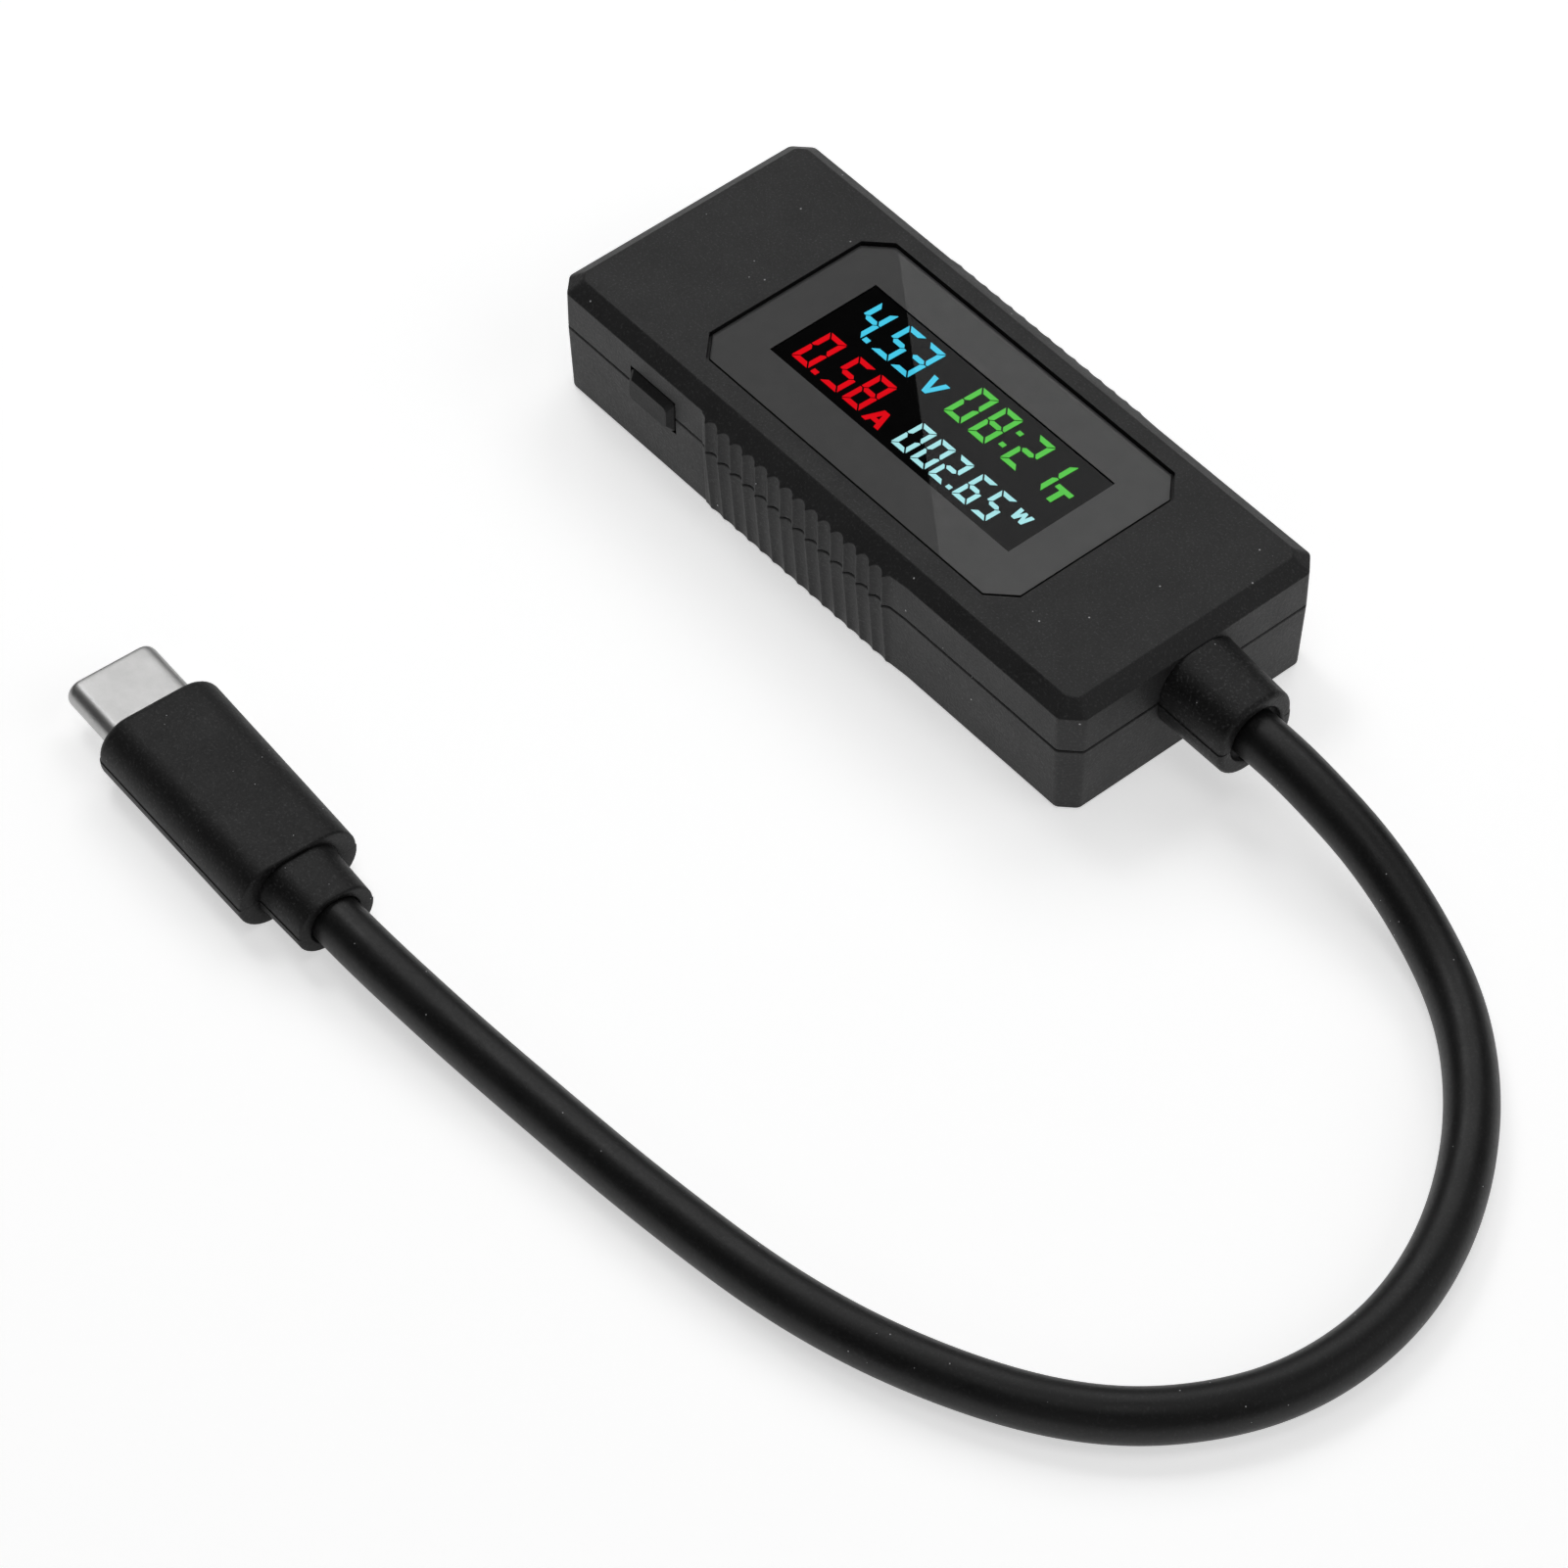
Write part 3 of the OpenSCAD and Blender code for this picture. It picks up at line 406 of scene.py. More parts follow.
WALL = 1.5
CORNER = 1.5
CORNER_LOSS = 2 - math.sqrt(2)
CHAMFER_W = 1.4
CHAMFER_H = 1.1
DRAFT = 0.22
FOOT = 0.42
RIDGE_X0 = -11.8
RIDGE_PITCH = 1.55
FLUTES = 14
RIDGE_H = 0.5
FLUTE_DEPTH = 0.4
FLUTE_R = 0.82
UPRIGHT_R = 0.7
UPRIGHT_STEPS = 5

half_w = case_high.y - RIDGE_H
chamfer_z = top_z - CHAMFER_H
window_centre = (window_low + window_high) / 2
window_size = window_high - window_low

# How far the bottoms of the grip's hollows stand out from the wall.
HOLLOW = 0.1
# Share of the ridges' height over the hollows that is kept along the far side, and at the foot.
FAR_SHARE = 0.45
FOOT_SHARE = 0.25
# Drop at the very edge of a hollow, which leaves a crisp ridge.
HOLLOW_EDGE = 0.015


def faded(p, share):
    """Stand-out p with its height over the hollows scaled by share. The hollows keep theirs."""
    return min(p, HOLLOW) + max(p - HOLLOW, 0) * share


def ridge_profile():
    """The grip along one long side as (x, how far it stands out from the wall)."""
    points = [(RIDGE_X0 - RIDGE_PITCH * 0.6, 0.0)]
    reach = math.acos((FLUTE_R - FLUTE_DEPTH) / FLUTE_R)
    for i in range(-1, FLUTES + 1):
        centre = RIDGE_X0 + (i + 0.5) * RIDGE_PITCH
        first = 4 if i < 0 else 0
        last = 4 if i == FLUTES else 8
        for k in range(first, last + 1):
            t = reach * (k - 4) / 4
            stand = RIDGE_H - FLUTE_DEPTH + FLUTE_R * (1 - math.cos(t))
            points.append((centre + FLUTE_R * math.sin(t), stand - (HOLLOW_EDGE if abs(k - 4) == 4 else 0)))
        if i < FLUTES:
            points.append((centre + RIDGE_PITCH / 2, RIDGE_H))
    points.append((RIDGE_X0 + (FLUTES + 1.5) * RIDGE_PITCH, 0.0))
    return points


PLAIN_LEFT = [(x, 0) for x in (-29, -26, -22, -18, -15)]
PLAIN_RIGHT = [(x, 0) for x in (13, 16, 20, 24, 27, 29)]
LONG_SIDE = PLAIN_LEFT + ridge_profile() + PLAIN_RIGHT


def ring(half_x, half_y, leg, radius, centre=(0, 0), squeeze=1.0):
    """Cut-corner rectangle with rounded corners as (x, y, stand-out) points, the same number for
    every size. Along the long sides the points keep the grip's places, times squeeze."""
    cx, cy = centre
    corners = [
        (half_x, -half_y + leg), (half_x, half_y - leg), (half_x - leg, half_y), (-half_x + leg, half_y),
        (-half_x, half_y - leg), (-half_x, -half_y + leg), (-half_x + leg, -half_y), (half_x - leg, -half_y),
    ]
    tangent = radius * math.tan(math.pi / 8)
    points = []
    for i, (x, y) in enumerate(corners):
        before = Vector(corners[i - 1]) - Vector((x, y))
        after = Vector(corners[(i + 1) % 8]) - Vector((x, y))
        start = Vector((x, y)) + before.normalized() * tangent
        heading = -before.normalized()
        normal = Vector((heading.y, -heading.x))
        hub = start - normal * radius
        base = math.atan2(normal.y, normal.x)
        for k in range(UPRIGHT_STEPS + 1):
            t = base + math.pi / 4 * k / UPRIGHT_STEPS
            points.append((cx + hub.x + radius * math.cos(t), cy + hub.y + radius * math.sin(t), 0))
        end = Vector((x, y)) + after.normalized() * tangent
        following = Vector(corners[(i + 1) % 8]) - after.normalized() * tangent
        if i in (0, 4):
            for k in range(1, 6):
                v = end.lerp(following, k / 6)
                points.append((cx + v.x, cy + v.y, 0))
        if i in (2, 6):
            side = 1 if i == 2 else -1
            for along, p in (reversed(LONG_SIDE) if i == 2 else LONG_SIDE):
                points.append((cx + along * squeeze, cy + side * half_y, p))
    return points


def shell_ring(step):
    """Ring of the case's outside. Step gives (offset, height) for a given stand-out of the grip."""
    plain = step(0)[0]
    out = []
    for x, y, p in ring(half_l + plain, half_w + plain, CORNER + CORNER_LOSS * plain, UPRIGHT_R):
        side = 1 if y > 0 else -1
        if side == 1:
            p = faded(p, FAR_SHARE)
        offset, z = step(p)
        if p:
            y = side * (half_w + offset)
        out.append((x, y, z))
    return out


def flat_ring(half_x, half_y, leg, radius, z, centre=(0, 0)):
    squeeze = (half_x - leg - radius) / (half_l - CORNER - UPRIGHT_R)
    return [(x, y, z) for x, y, p in ring(half_x, half_y, leg, radius, centre, squeeze=squeeze)]


def inner_ring(inset, z):
    """Ring of the case's inside, set in from its walls."""
    return flat_ring(half_l - inset, half_w - inset, 0.9, 0.2, z)


def corner_arc(before, at, after, radius, steps):
    """Rounds the corner at a point of an (offset, height) outline."""
    a = (Vector(before) - Vector(at)).normalized()
    b = (Vector(after) - Vector(at)).normalized()
    half = a.angle(b) / 2
    reach = radius / math.tan(half)
    hub = Vector(at) + (a + b).normalized() * radius / math.sin(half)
    start = Vector(at) + a * reach - hub
    end = Vector(at) + b * reach - hub
    sweep = start.angle(end)
    out = []
    for k in range(steps + 1):
        t = k / steps
        v = (start * math.sin((1 - t) * sweep) + end * math.sin(t * sweep)) / math.sin(sweep)
        out.append(tuple(hub + v))
    return out


def outline_steps(corners, rounds):
    """Turns an outline of corner functions into ring functions, with the corners that rounds lists rounded.
    """
    steps = []
    for i in range(len(corners)):
        if i in rounds:
            radius, count = rounds[i]
            for k in range(count + 1):
                steps.append(
                    lambda p, i=i, k=k, radius=radius, count=count: corner_arc(
                        corners[i - 1](p), corners[i](p), corners[i + 1](p), radius, count
                    )[k]
                )
        else:
            steps.append(corners[i])
    return steps


GROOVE = 0.15
GROOVE_DEPTH = 0.4
# Half the gap between the two shells, and the depth of its rounded lips.
SEAM_GAP = 0.02
SEAM_LIP = 0.08
WINDOW_GAP = 0.12
WINDOW_LEG = 1.95
ROOF = 10.6


def upper_rings():
    slope = CHAMFER_W / CHAMFER_H
    corners = [
        lambda p: (p - GROOVE_DEPTH, PART_Z + SEAM_GAP),
        lambda p: (p - SEAM_LIP, PART_Z + 0.03),
        lambda p: (p, PART_Z + SEAM_GAP + GROOVE),
        lambda p: (p, chamfer_z - p / slope),
        lambda p: (-CHAMFER_W, top_z),
        lambda p: (-CHAMFER_W - 1.5, top_z),
    ]
    steps = outline_steps(corners, {1: (0.03, 2), 2: (0.06, 3), 3: (0.16, 4), 4: (0.28, 5)})[:-1]
    rings = [shell_ring(step) for step in steps]
    half_x, half_y = window_size.x / 2, window_size.y / 2
    mouth = (window_centre.x, window_centre.y)
    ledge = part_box("window_tape")[0].z / MM
    rim = [
        (1.2, top_z), (WINDOW_GAP + 0.04, top_z), (WINDOW_GAP + 0.01, top_z - 0.01),
        (WINDOW_GAP, top_z - 0.05), (WINDOW_GAP, ledge),
    ]
    for out, z in rim:
        leg = WINDOW_LEG + CORNER_LOSS * out
        rings.append(flat_ring(half_x + out, half_y + out, leg, 0.2, z, mouth))
    for z in (ledge, ROOF):
        rings.append(flat_ring(half_x - 1.15, half_y - 1.15, 0.9, 0.2, z, mouth))
    inner = [
        (WALL, ROOF), (WALL, PART_Z + 0.9), (WALL - 0.75, PART_Z + 0.85),
        (WALL - 0.75, PART_Z + SEAM_GAP),
    ]
    return rings + [inner_ring(inset, z) for inset, z in inner]


def lower_rings():
    def wall(z):
        """The wall leans in towards the foot."""
        return -DRAFT * (PART_Z - z) / (PART_Z - FOOT)

    corners = [
        lambda p: (-3.0, 0.0),
        lambda p: (faded(p, FOOT_SHARE) + wall(0) - 0.05, 0.0),
        lambda p: (p + wall(PART_Z), PART_Z - SEAM_GAP - GROOVE),
        lambda p: (p - SEAM_LIP, PART_Z - 0.03),
        lambda p: (p - GROOVE_DEPTH, PART_Z - SEAM_GAP),
    ]
    steps = outline_steps(corners, {1: (FOOT, 6), 2: (0.06, 3), 3: (0.03, 2)})[1:]
    bottom = [flat_ring(half_l - inset, half_w - inset, 0.8, 0.3, 0.0) for inset in (9, 2.4)]
    inner = [(0.85, PART_Z - SEAM_GAP), (0.85, PART_Z + 0.8), (WALL, PART_Z + 0.8), (WALL, 1.5), (9, 1.5)]
    return bottom + [shell_ring(step) for step in steps] + [inner_ring(inset, z) for inset, z in inner]


# ---------- making pieces ----------

def bridge(bm, rings):
    """Quads between each ring and the next."""
    count = len(rings[0])
    for a, b in zip(rings, rings[1:]):
        for i in range(count):
            j = (i + 1) % count
            bm.faces.new((a[i], a[j], b[j], b[i]))


def add_piece(name, bm, material, place=None):
    mesh = bpy.data.meshes.new(name)
    bm.to_mesh(mesh)
    bm.free()
    mesh.materials.append(material)
    obj = bpy.data.objects.new(name, mesh)
    if place:
        obj.matrix_world = place
    bpy.context.scene.collection.objects.link(obj)
    return obj


def stand_in(obj, node):
    """Puts a piece of the housing in the place of a CAD node."""
    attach(obj, "housing")
    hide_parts(node)
    return obj


def skin(name, rings, material, tube):
    """Mesh through rings of points in millimetres. A tube joins its last ring to its first; the rest
    get flat ends."""
    bm = bmesh.new()
    loops = [[bm.verts.new(Vector(p) * MM) for p in r] for r in rings]
    bridge(bm, loops + [loops[0]] if tube else loops)
    if not tube:
        bm.faces.new(loops[0])
        bm.faces.new(loops[-1])
    bmesh.ops.recalc_face_normals(bm, faces=bm.faces)
    return add_piece(name, bm, material)


def prism(name, outline, x0, x1, mouth=None):
    """Cutter with a (y, z) outline from x0 to x1. It turns into the mouth over FLARE, at its x0 end."""
    places = [(x1, outline), (x0 + FLARE, outline), (x0, mouth or outline), (x0 - 1, mouth or outline)]
    return skin(name, [[(x, y, z) for y, z in points] for x, points in places], None, False)


def oval(width, height, z):
    """Flat oval as (y, z) points, with its centre at height z."""
    points = []
    for side in (1, -1):
        for k in range(17):
            t = -math.pi / 2 + math.pi * k / 16
            points.append((
                side * (width / 2 - height / 2 + height / 2 * math.cos(t)),
                z + side * height / 2 * math.sin(t),
            ))
    return points


def cut(obj, cutters):
    """Takes the cutters out of the piece for good, then removes them."""
    for cutter in cutters:
        modifier = obj.modifiers.new("cut", "BOOLEAN")
        modifier.object = cutter
        modifier.operation = "DIFFERENCE"
        modifier.solver = "EXACT"
    graph = bpy.context.evaluated_depsgraph_get()
    mesh = bpy.data.meshes.new_from_object(obj.evaluated_get(graph))
    old = obj.data
    obj.modifiers.clear()
    obj.data = mesh
    bpy.data.meshes.remove(old)
    for cutter in cutters:
        bpy.data.objects.remove(cutter)


def smooth_by_angle(obj, degrees=32):
    for face in obj.data.polygons:
        face.use_smooth = True
    obj.data.set_sharp_from_angle(angle=math.radians(degrees))
    normals = obj.modifiers.new("normals", "WEIGHTED_NORMAL")
    normals.keep_sharp = True


FLARE = 0.25
SOCKET_HOLE = (9.14, 3.46)
BUTTON_GAP = 0.14
# The button's flange behind the wall is longer at each end than the part that shows.
BUTTON_FLANGE = 1.3


def case_cutters():
    """Solids that open the case for the socket, the boot's neck and the button."""
    w, h = SOCKET_HOLE
    socket = prism(
        "socket_hole", oval(w, h, PART_Z), -half_l, -half_l + 3, oval(w + 2 * FLARE, h + 2 * FLARE, PART_Z),
    )
    neck = [(y, LEAD_Z + z) for y, z in section(6.7, 6.5, 2)]
    boot_hole = prism("boot_hole", neck, half_l - 3, half_l + 0.5)
    low, high = [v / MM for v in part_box("side_button")]
    x0, x1 = low.x + BUTTON_FLANGE - BUTTON_GAP, high.x - BUTTON_FLANGE + BUTTON_GAP
    z0, z1 = low.z - BUTTON_GAP, high.z + BUTTON_GAP
    rings = [
        [(x0, y, z0), (x1, y, z0), (x1, y, z1), (x0, y, z1)] for y in (-half_w - 1, -half_w + 2.5)
    ]
    return [socket, boot_hole, skin("button_hole", rings, None, False)]


def make_shells():
    for name, rings, tube, node in (
        ("upper_case_half", upper_rings(), True, "upper_shell"),
        ("lower_case_half", lower_rings(), False, "lower_shell"),
    ):
        shell = skin(name, rings, SHELL, tube)
        cut(shell, case_cutters())
        smooth_by_angle(shell)
        stand_in(shell, node)


def make_pane():
    """Clear window with a narrow bevel, a hair above its printed mask. Its edge, sides and bevel, is painted
    black: painted shade that stands in for the dark gap round the window.
    """
    low, high = window_low.z, window_high.z
    rings = [
        flat_ring(
            window_size.x / 2 - inset, window_size.y / 2 - inset, 2.1 - CORNER_LOSS * inset, 0.2, z,
            (window_centre.x, window_centre.y),
        )
        for inset, z in ((0.04, low + 0.02), (0, low + 0.06), (0, high - 0.06), (0.06, high))
    ]
    pane = skin("window_moulding", rings, PANE, False)
    pane.data.materials.append(PANE_GAP_SHADE)
    # The sloped and upright faces get the black: painted shade along the window's gap.
    for face in pane.data.polygons:
        face.material_index = 1 if abs(face.normal.z) < 0.95 else 0
    stand_in(pane, "display_window")


# ---------- lofted pieces ----------

SEAM = 0.09
MISMATCH = 0.07
SEAM_HALF_W = 0.06


def section(w, h, r, arc=10, flat_x=10, flat_z=5):
    """Closed rounded rectangle as (y, z) points, from the middle of its +y side. The flat sides carry
    two points close to the middle, where a mould seam runs."""
    a, b = w / 2, h / 2
    r = min(r, 0.985 * a, 0.985 * b)

    def side(half, count):
        """Fractions of a side from its middle outwards."""
        rest = [half * k / count for k in range(1, count + 1)]
        return [0.0, min(SEAM_HALF_W, rest[0] / 2)] + rest

    up = side(b - r, flat_z)
    quarter = [(a, z) for z in up]
    quarter += [
        (a - r + r * math.cos(t), b - r + r * math.sin(t))
        for t in (math.pi / 2 * k / arc for k in range(1, arc))
    ]
    across = [(a - r) * k / flat_x for k in range(flat_x, 0, -1)]
    quarter += [(y, b) for y in across]
    half = quarter + [(0, b)] + [(-y, z) for y, z in reversed(quarter)]
    lower = [(y, -z) for y, z in reversed(half[1:-1])]
    return half + lower


def loft(name, stations, place, material, moulded_piece=True):
    """Skin through stations of (x, width, height, radius, rise) in millimetres. A moulded piece has
    closed ends and a seam along both sides, and the half under the seam stands out by MISMATCH."""
    bm = bmesh.new()
    rings = [
        [bm.verts.new(Vector((x, y, z + rise)) * MM) for y, z in section(w, h, r)]
        for x, w, h, r, rise in stations
    ]
    bridge(bm, rings)
    if moulded_piece:
        bm.faces.new(list(reversed(rings[0])))
        bm.faces.new(rings[-1])
    bmesh.ops.recalc_face_normals(bm, faces=bm.faces)
    bm.normal_update()
    if moulded_piece:
        opposite = len(rings[0]) // 2
        for ring_verts in rings:
            for i in (0, opposite):
                ring_verts[i].co -= ring_verts[i].normal * SEAM * MM
            for vert in ring_verts[opposite + 1:]:
                vert.co.y += math.copysign(MISMATCH * MM, vert.co.y)
    piece = add_piece(name, bm, material, place)
    for face in piece.data.polygons:
        face.use_smooth = True
    return piece


def rounded_end(x, w, h, r, edge, outward, steps):
    """Stations that turn a section in by edge over a quarter circle, towards the outward side."""
    out = []
    for k in range(steps + 1):
        t = math.pi / 2 * k / steps
        inset = edge * (1 - math.cos(t))
        out.append((
            x - outward * edge * (1 - math.sin(t)), w - 2 * inset, h - 2 * inset, max(r - inset, 0.2), 0,
        ))
    return out


def make_boot():
    """Boot that grows out of the case's end and is moulded round the lead."""
    stations = [
        (half_l - 1.5, 7.2, 6.6, 2.9, 0.45),
        (half_l - 0.1, 7.9, 7.5, 3.1, 0.45),
        (half_l + 0.3, 7.86, 7.45, 3.1, 0.43),
    ]
    for k in range(1, 9):
        t = k / 8
        stations.append((
            half_l + 0.3 + 6.1 * t, 7.86 - 0.36 * t, 7.45 - 0.35 * t, 3.1 - 0.1 * t, 0.43 * (1 - t),
        ))
    stations += rounded_end(boot_end, 7.5, 7.1, 3.0, 0.45, 1, 8)[1:]
    lip_r = LEAD_R + 0.42
    stations += [
        (boot_end, 2 * lip_r + 0.5, 2 * lip_r + 0.3, LEAD_R + 0.35, 0),
        (boot_end - 0.02, 2 * lip_r + 0.2, 2 * lip_r + 0.12, lip_r, 0),
        (boot_end - 0.12, 2 * lip_r, 2 * lip_r, lip_r, 0),
        (boot_end - 0.55, 2 * lip_r - 0.05, 2 * lip_r - 0.05, LEAD_R + 0.38, 0),
        (boot_end - 0.7, 2 * LEAD_R - 0.1, 2 * LEAD_R - 0.1, LEAD_R, 0),
    ]
    boot = loft("boot_moulding", stations, Matrix.Translation((0, 0, LEAD_Z * MM)), BOOT)
    stand_in(boot, "cable_boot")


def make_grip():
    """Grip of the plug: flat-sided oval block, rounded at both ends, parted along its middle."""
    w, h, r = 11.2, 6.2, 2.95
    hole_w, hole_h = 8.3, 2.45
    stations = [
        (1.2, hole_w, hole_h, 1.2, 0),
        (0.15, hole_w, hole_h, 1.2, 0),
        (0.0, hole_w + 0.15, hole_h + 0.15, 1.25, 0),
    ]
    stations += reversed(rounded_end(0, w, h, r, 0.8, -1, 8))
    for k in range(1, 11):
        t = k / 11
        stations.append((0.8 + (GRIP_L - 1.3) * t, w - 0.36 * t, h, r, 0))
    stations += rounded_end(GRIP_L, w - 0.4, h, r, 0.2, 1, 6)
    stations += [
        (GRIP_L, 7.0, 4.6, 2.2, 0),
        (GRIP_L - 0.3, 6.6, 4.4, 2.1, 0),
    ]
    return stand_in(loft("grip_moulding", stations, PLUG_PLACE, GRIP), "plug_grip")


def make_relief():
    """Collar behind the grip, moulded round the lead."""
    end = GRIP_L + RELIEF_L
    stations = [
        (GRIP_L - 0.25, 6.9, 5.1, 2.4, 0),
        (GRIP_L, 7.3, 5.5, 2.6, 0),
        (GRIP_L + 0.25, 7.1, 5.4, 2.6, 0),
    ]
    for k in range(1, 7):
        t = k / 6
        stations.append((GRIP_L + 0.25 + 4.4 * t, 7.1 - 0.25 * t, 5.4 - 0.1 * t, 2.6, 0))
    stations += rounded_end(end, 6.85, 5.3, 2.6, 0.2, 1, 6)[1:]
    stations += [
        (end, 2 * LEAD_R + 0.45, 2 * LEAD_R + 0.2, LEAD_R + 0.1, 0),
        (end - 0.08, 2 * LEAD_R + 0.2, 2 * LEAD_R + 0.1, LEAD_R + 0.05, 0),
        (end - 0.5, 2 * LEAD_R - 0.1, 2 * LEAD_R - 0.1, LEAD_R, 0),
    ]
    relief = loft("relief_moulding", stations, PLUG_PLACE, GRIP)
    return stand_in(relief, "plug_strain_relief")


def make_plug_shell():
    """Drawn metal shell with a rolled lip at its mouth."""
    w, h, wall = 8.25, 2.4, 0.3
    bore_w, bore_h = w - 2 * wall, h - 2 * wall
    mouth = -SHELL_OUT
    stations = [
        (2.8, bore_w, bore_h, 0.88, 0),
        (2.6, bore_w, bore_h, 0.88, 0),
        (mouth + 0.7, bore_w, bore_h, 0.88, 0),
        (mouth + 0.5, bore_w, bore_h, 0.88, 0),
        (mouth + 0.1, bore_w - 0.3, bore_h + 0.02, 0.88, 0),
        (mouth + 0.02, bore_w - 0.25, bore_h + 0.1, 0.9, 0),
        (mouth, w - 0.75, h - 0.36, 0.98, 0),
        (mouth + 0.03, w - 0.55, h - 0.22, 1.05, 0),
        (mouth + 0.10, w - 0.34, h - 0.12, 1.1, 0),
        (mouth + 0.22, w - 0.16, h - 0.05, 1.15, 0),
        (mouth + 0.4, w - 0.05, h - 0.01, 1.18, 0),
        (mouth + 0.6, w, h, 1.18, 0),
        (mouth + 0.75, w, h, 1.18, 0),
        (2.6, w, h, 1.18, 0),
        (2.8, w, h, 1.18, 0),
    ]
    shell = loft("shell_pressing", stations, PLUG_PLACE, NICKEL, moulded_piece=False)
    bm = bmesh.new()
    bm.from_mesh(shell.data)
    bmesh.ops.bridge_loops(bm, edges=[e for e in bm.edges if e.is_boundary])
    bmesh.ops.recalc_face_normals(bm, faces=bm.faces)
    bm.to_mesh(shell.data)
    bm.free()
    return stand_in(shell, "plug_shell")


# ---------- the lead ----------

JACKET_INSIDE_CASE = 3.9
JACKET_INSIDE_PLUG = 19

# Centre line of the lead, in millimetres: from inside the case, over the table, into the plug.
LEAD_ROUTE = [
    (half_l - JACKET_INSIDE_CASE, 0, LEAD_Z),
    (boot_end, 0, LEAD_Z),
    (boot_end + 4, 0, 6.55),
    (boot_end + 8, -0.1, 6),
    (boot_end + 12, -0.2, 5.2),
    (boot_end + 16.5, -0.7, 4.05),
    (boot_end + 21, -1.7, 2.95),
    (boot_end + 26, -3.6, 2.3),
    (69, -6.5, 2.2),
    (73.5, -10.5, 2.2),
    (77.5, -15.4, 2.2),
    (80.5, -20.6, 2.2),
    (82.5, -26.2, 2.2),
    (83.2, -32, 2.2),
    (82.5, -38, 2.2),
    (80.2, -43.5, 2.2),
    (76.6, -48.5, 2.2),
    (71.8, -52.5, 2.2),
    (65.8, -55.8, 2.2),
    (59, -58.5, 2.2),
    (51.5, -60.4, 2.2),
    (43.5, -61.5, 2.2),
    (35.5, -62.3, 2.2),
    (28, -62.8, 2.2),
    (21, -63.3, 2.3),
    (15, -63.7, 2.65),
    (9.5, -64, 3),
]


def lead_points():
    plug_end = [along_plug(GRIP_L + RELIEF_L), along_plug(JACKET_INSIDE_PLUG)]
    return [Vector(p) * MM for p in LEAD_ROUTE] + plug_end


def smooth_line(points, steps):
    """Centripetal Catmull-Rom curve through the points."""
    ends = [2 * points[0] - points[1]] + points + [2 * points[-1] - points[-2]]
    line = []
    for p0, p1, p2, p3 in zip(ends, ends[1:], ends[2:], ends[3:]):
        t0 = 0.0
        t1 = t0 + math.sqrt((p1 - p0).length)
        t2 = t1 + math.sqrt((p2 - p1).length)
        t3 = t2 + math.sqrt((p3 - p2).length)
        for k in range(steps):
            t = t1 + (t2 - t1) * k / steps
            a1 = p0.lerp(p1, (t - t0) / (t1 - t0))
            a2 = p1.lerp(p2, (t - t1) / (t2 - t1))
            a3 = p2.lerp(p3, (t - t2) / (t3 - t2))
            b1 = a1.lerp(a2, (t - t0) / (t2 - t0))
            b2 = a2.lerp(a3, (t - t1) / (t3 - t1))
            line.append(b1.lerp(b2, (t - t1) / (t2 - t1)))
    return line + [points[-1]]


def make_lead():
    line = smooth_line(lead_points(), 10)
    # A few passes of averaging even out the bends between the route's points.
    for _ in range(30):
        line = [line[0], line[1]] + [
            (line[i - 1] + 2 * line[i] + line[i + 1]) / 4 for i in range(2, len(line) - 2)
        ] + [line[-2], line[-1]]
    data = bpy.data.curves.new("lead_jacket", "CURVE")
    data.dimensions = "3D"
    data.bevel_depth = LEAD_R * MM
    data.bevel_resolution = 14
    data.use_fill_caps = True
    spline = data.splines.new("POLY")
    spline.points.add(len(line) - 1)
    for point, place in zip(spline.points, line):
        point.co = (*place, 1)
    spline.use_smooth = True
    data.materials.append(JACKET)
    lead = bpy.data.objects.new("lead_jacket", data)
    bpy.context.scene.collection.objects.link(lead)
    stand_in(lead, "cord")


make_shells()
make_pane()
make_boot()
plug_pieces = [make_grip(), make_relief(), make_plug_shell()]
make_lead()


# ---------- floor, light ----------

def add_floor():
    bm = bmesh.new()
    bmesh.ops.create_grid(bm, x_segments=8, y_segments=8, size=3)
    n = Nodes("floor_paper")
    tone = n.remap(n.noise(3, 2), 0.3, 0.7, 0.0, 1.0)
    n.surface(
        Base_Color=n.mix(tone, (0.88, 0.88, 0.88, 1), (0.90, 0.90, 0.90, 1)), Roughness=0.9,
        Specular_IOR_Level=0.1, Emission_Color=(1, 1, 1, 1), Emission_Strength=0.56,
    )
    add_piece("floor", bm, n.material)


def add_world(strength):
    world = bpy.data.worlds.new("studio")
    world.use_nodes = True
    background = world.node_tree.nodes["Background"]
    background.inputs["Color"].default_value = (1, 1, 1, 1)
    background.inputs["Strength"].default_value = strength
    bpy.context.scene.world = world


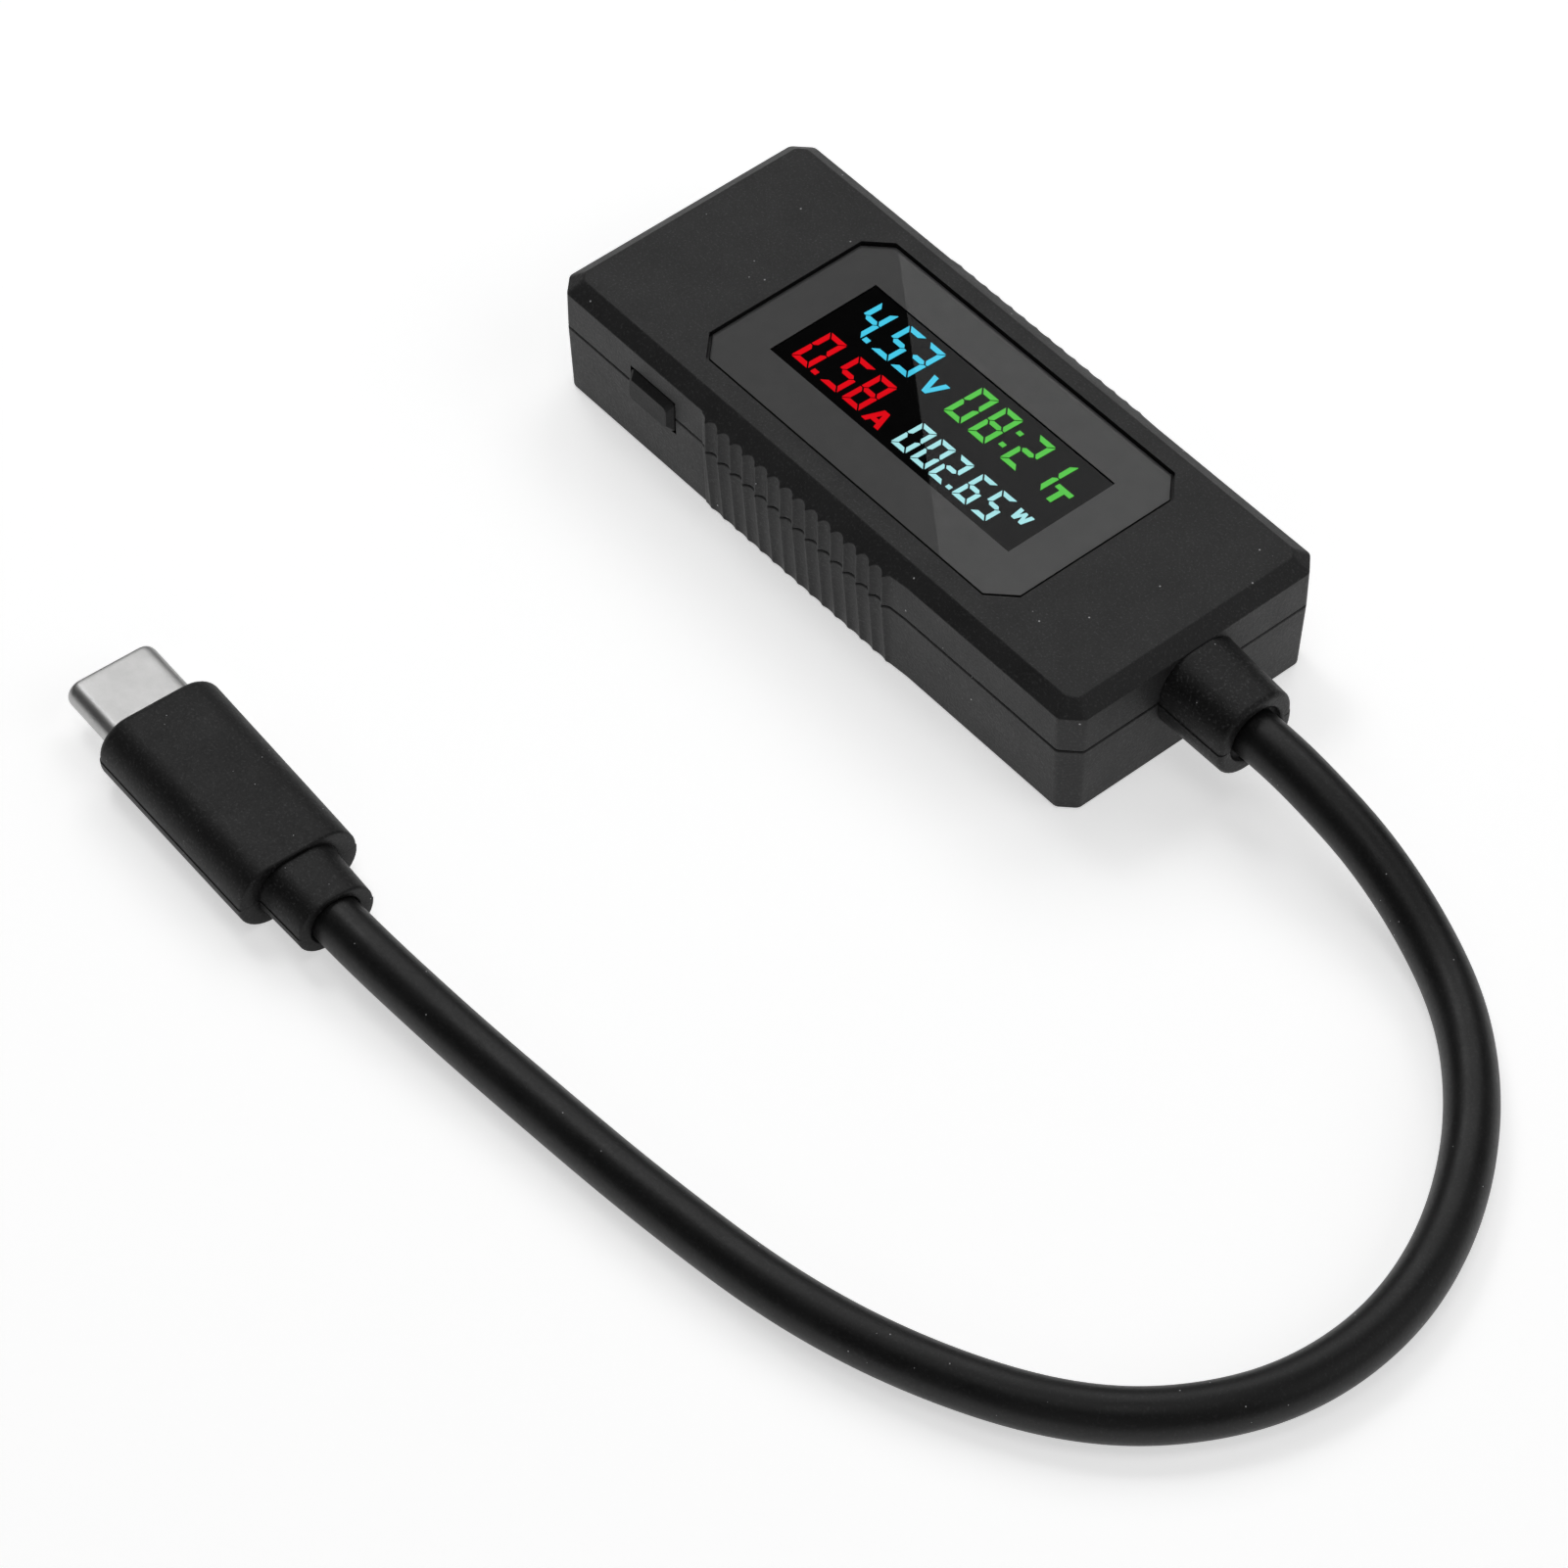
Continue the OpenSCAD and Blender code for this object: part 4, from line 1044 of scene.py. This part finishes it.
def add_area(name, place, turn, width, depth, radiance):
    """Rectangular softbox that is seen with this radiance."""
    data = bpy.data.lights.new(name, "AREA")
    data.shape = "RECTANGLE"
    data.size = width
    data.size_y = depth
    data.energy = radiance * math.pi * width * depth
    light = bpy.data.objects.new(name, data)
    light.location = place
    light.rotation_mode = "QUATERNION"
    light.rotation_quaternion = turn
    bpy.context.scene.collection.objects.link(light)


CENTRE = Vector((0.02, -0.025, 0.006))


def add_aimed(name, place, width, depth, radiance):
    add_area(name, place, (CENTRE - place).to_track_quat("-Z", "Y"), width, depth, radiance)


# The softbox over the case ends along the line that is seen, mirrored, across the window.
GLARE_FROM = Vector((-16, 10.3, 12.05)) * MM
GLARE_TO = Vector((12.4, -9.9, 12.05)) * MM
SOFTBOX_Z = 0.75
mirror_eye = Vector((EYE.x, EYE.y, 2 * GLARE_FROM.z - EYE.z))
edge_ends = [
    mirror_eye + (p - mirror_eye) * (SOFTBOX_Z - mirror_eye.z) / (p.z - mirror_eye.z)
    for p in (GLARE_FROM, GLARE_TO)
]
edge_run = (edge_ends[1] - edge_ends[0]).normalized()
inward = Vector((-edge_run.y, edge_run.x, 0))
edge_middle = (edge_ends[0] + edge_ends[1]) / 2


def add_overhead(name, near, far, run, radiance):
    """Level softbox over the case, between two distances from the window's mirrored line."""
    turn = Matrix((edge_run, inward, edge_run.cross(inward))).transposed().to_quaternion()
    add_area(name, edge_middle + (near + far) / 2 * inward, turn, run, far - near, radiance)


add_floor()
add_world(0.05)
add_overhead("softbox_top", 0, 0.5, run=0.85, radiance=1.85)
add_overhead("softbox_low", -0.5, -0.075, run=0.85, radiance=1.8)
add_aimed("softbox_right", CENTRE + Vector((0.70, 0.42, 0.58)), 0.9, 0.7, radiance=0.75)
add_aimed("softbox_front", CENTRE + Vector((0.60, -0.66, 0.47)), 0.4, 0.3, radiance=0.6)
add_aimed("overhead", Vector((0.12, -0.14, 0.95)), 0.4, 0.4, radiance=1.8)
add_aimed("key", CENTRE + 1.2 * Vector((-0.55, 0.1, 0.83)), 0.25, 0.25, radiance=5.0)

scene = bpy.context.scene
scene.view_settings.view_transform = "Standard"
scene.view_settings.look = "None"
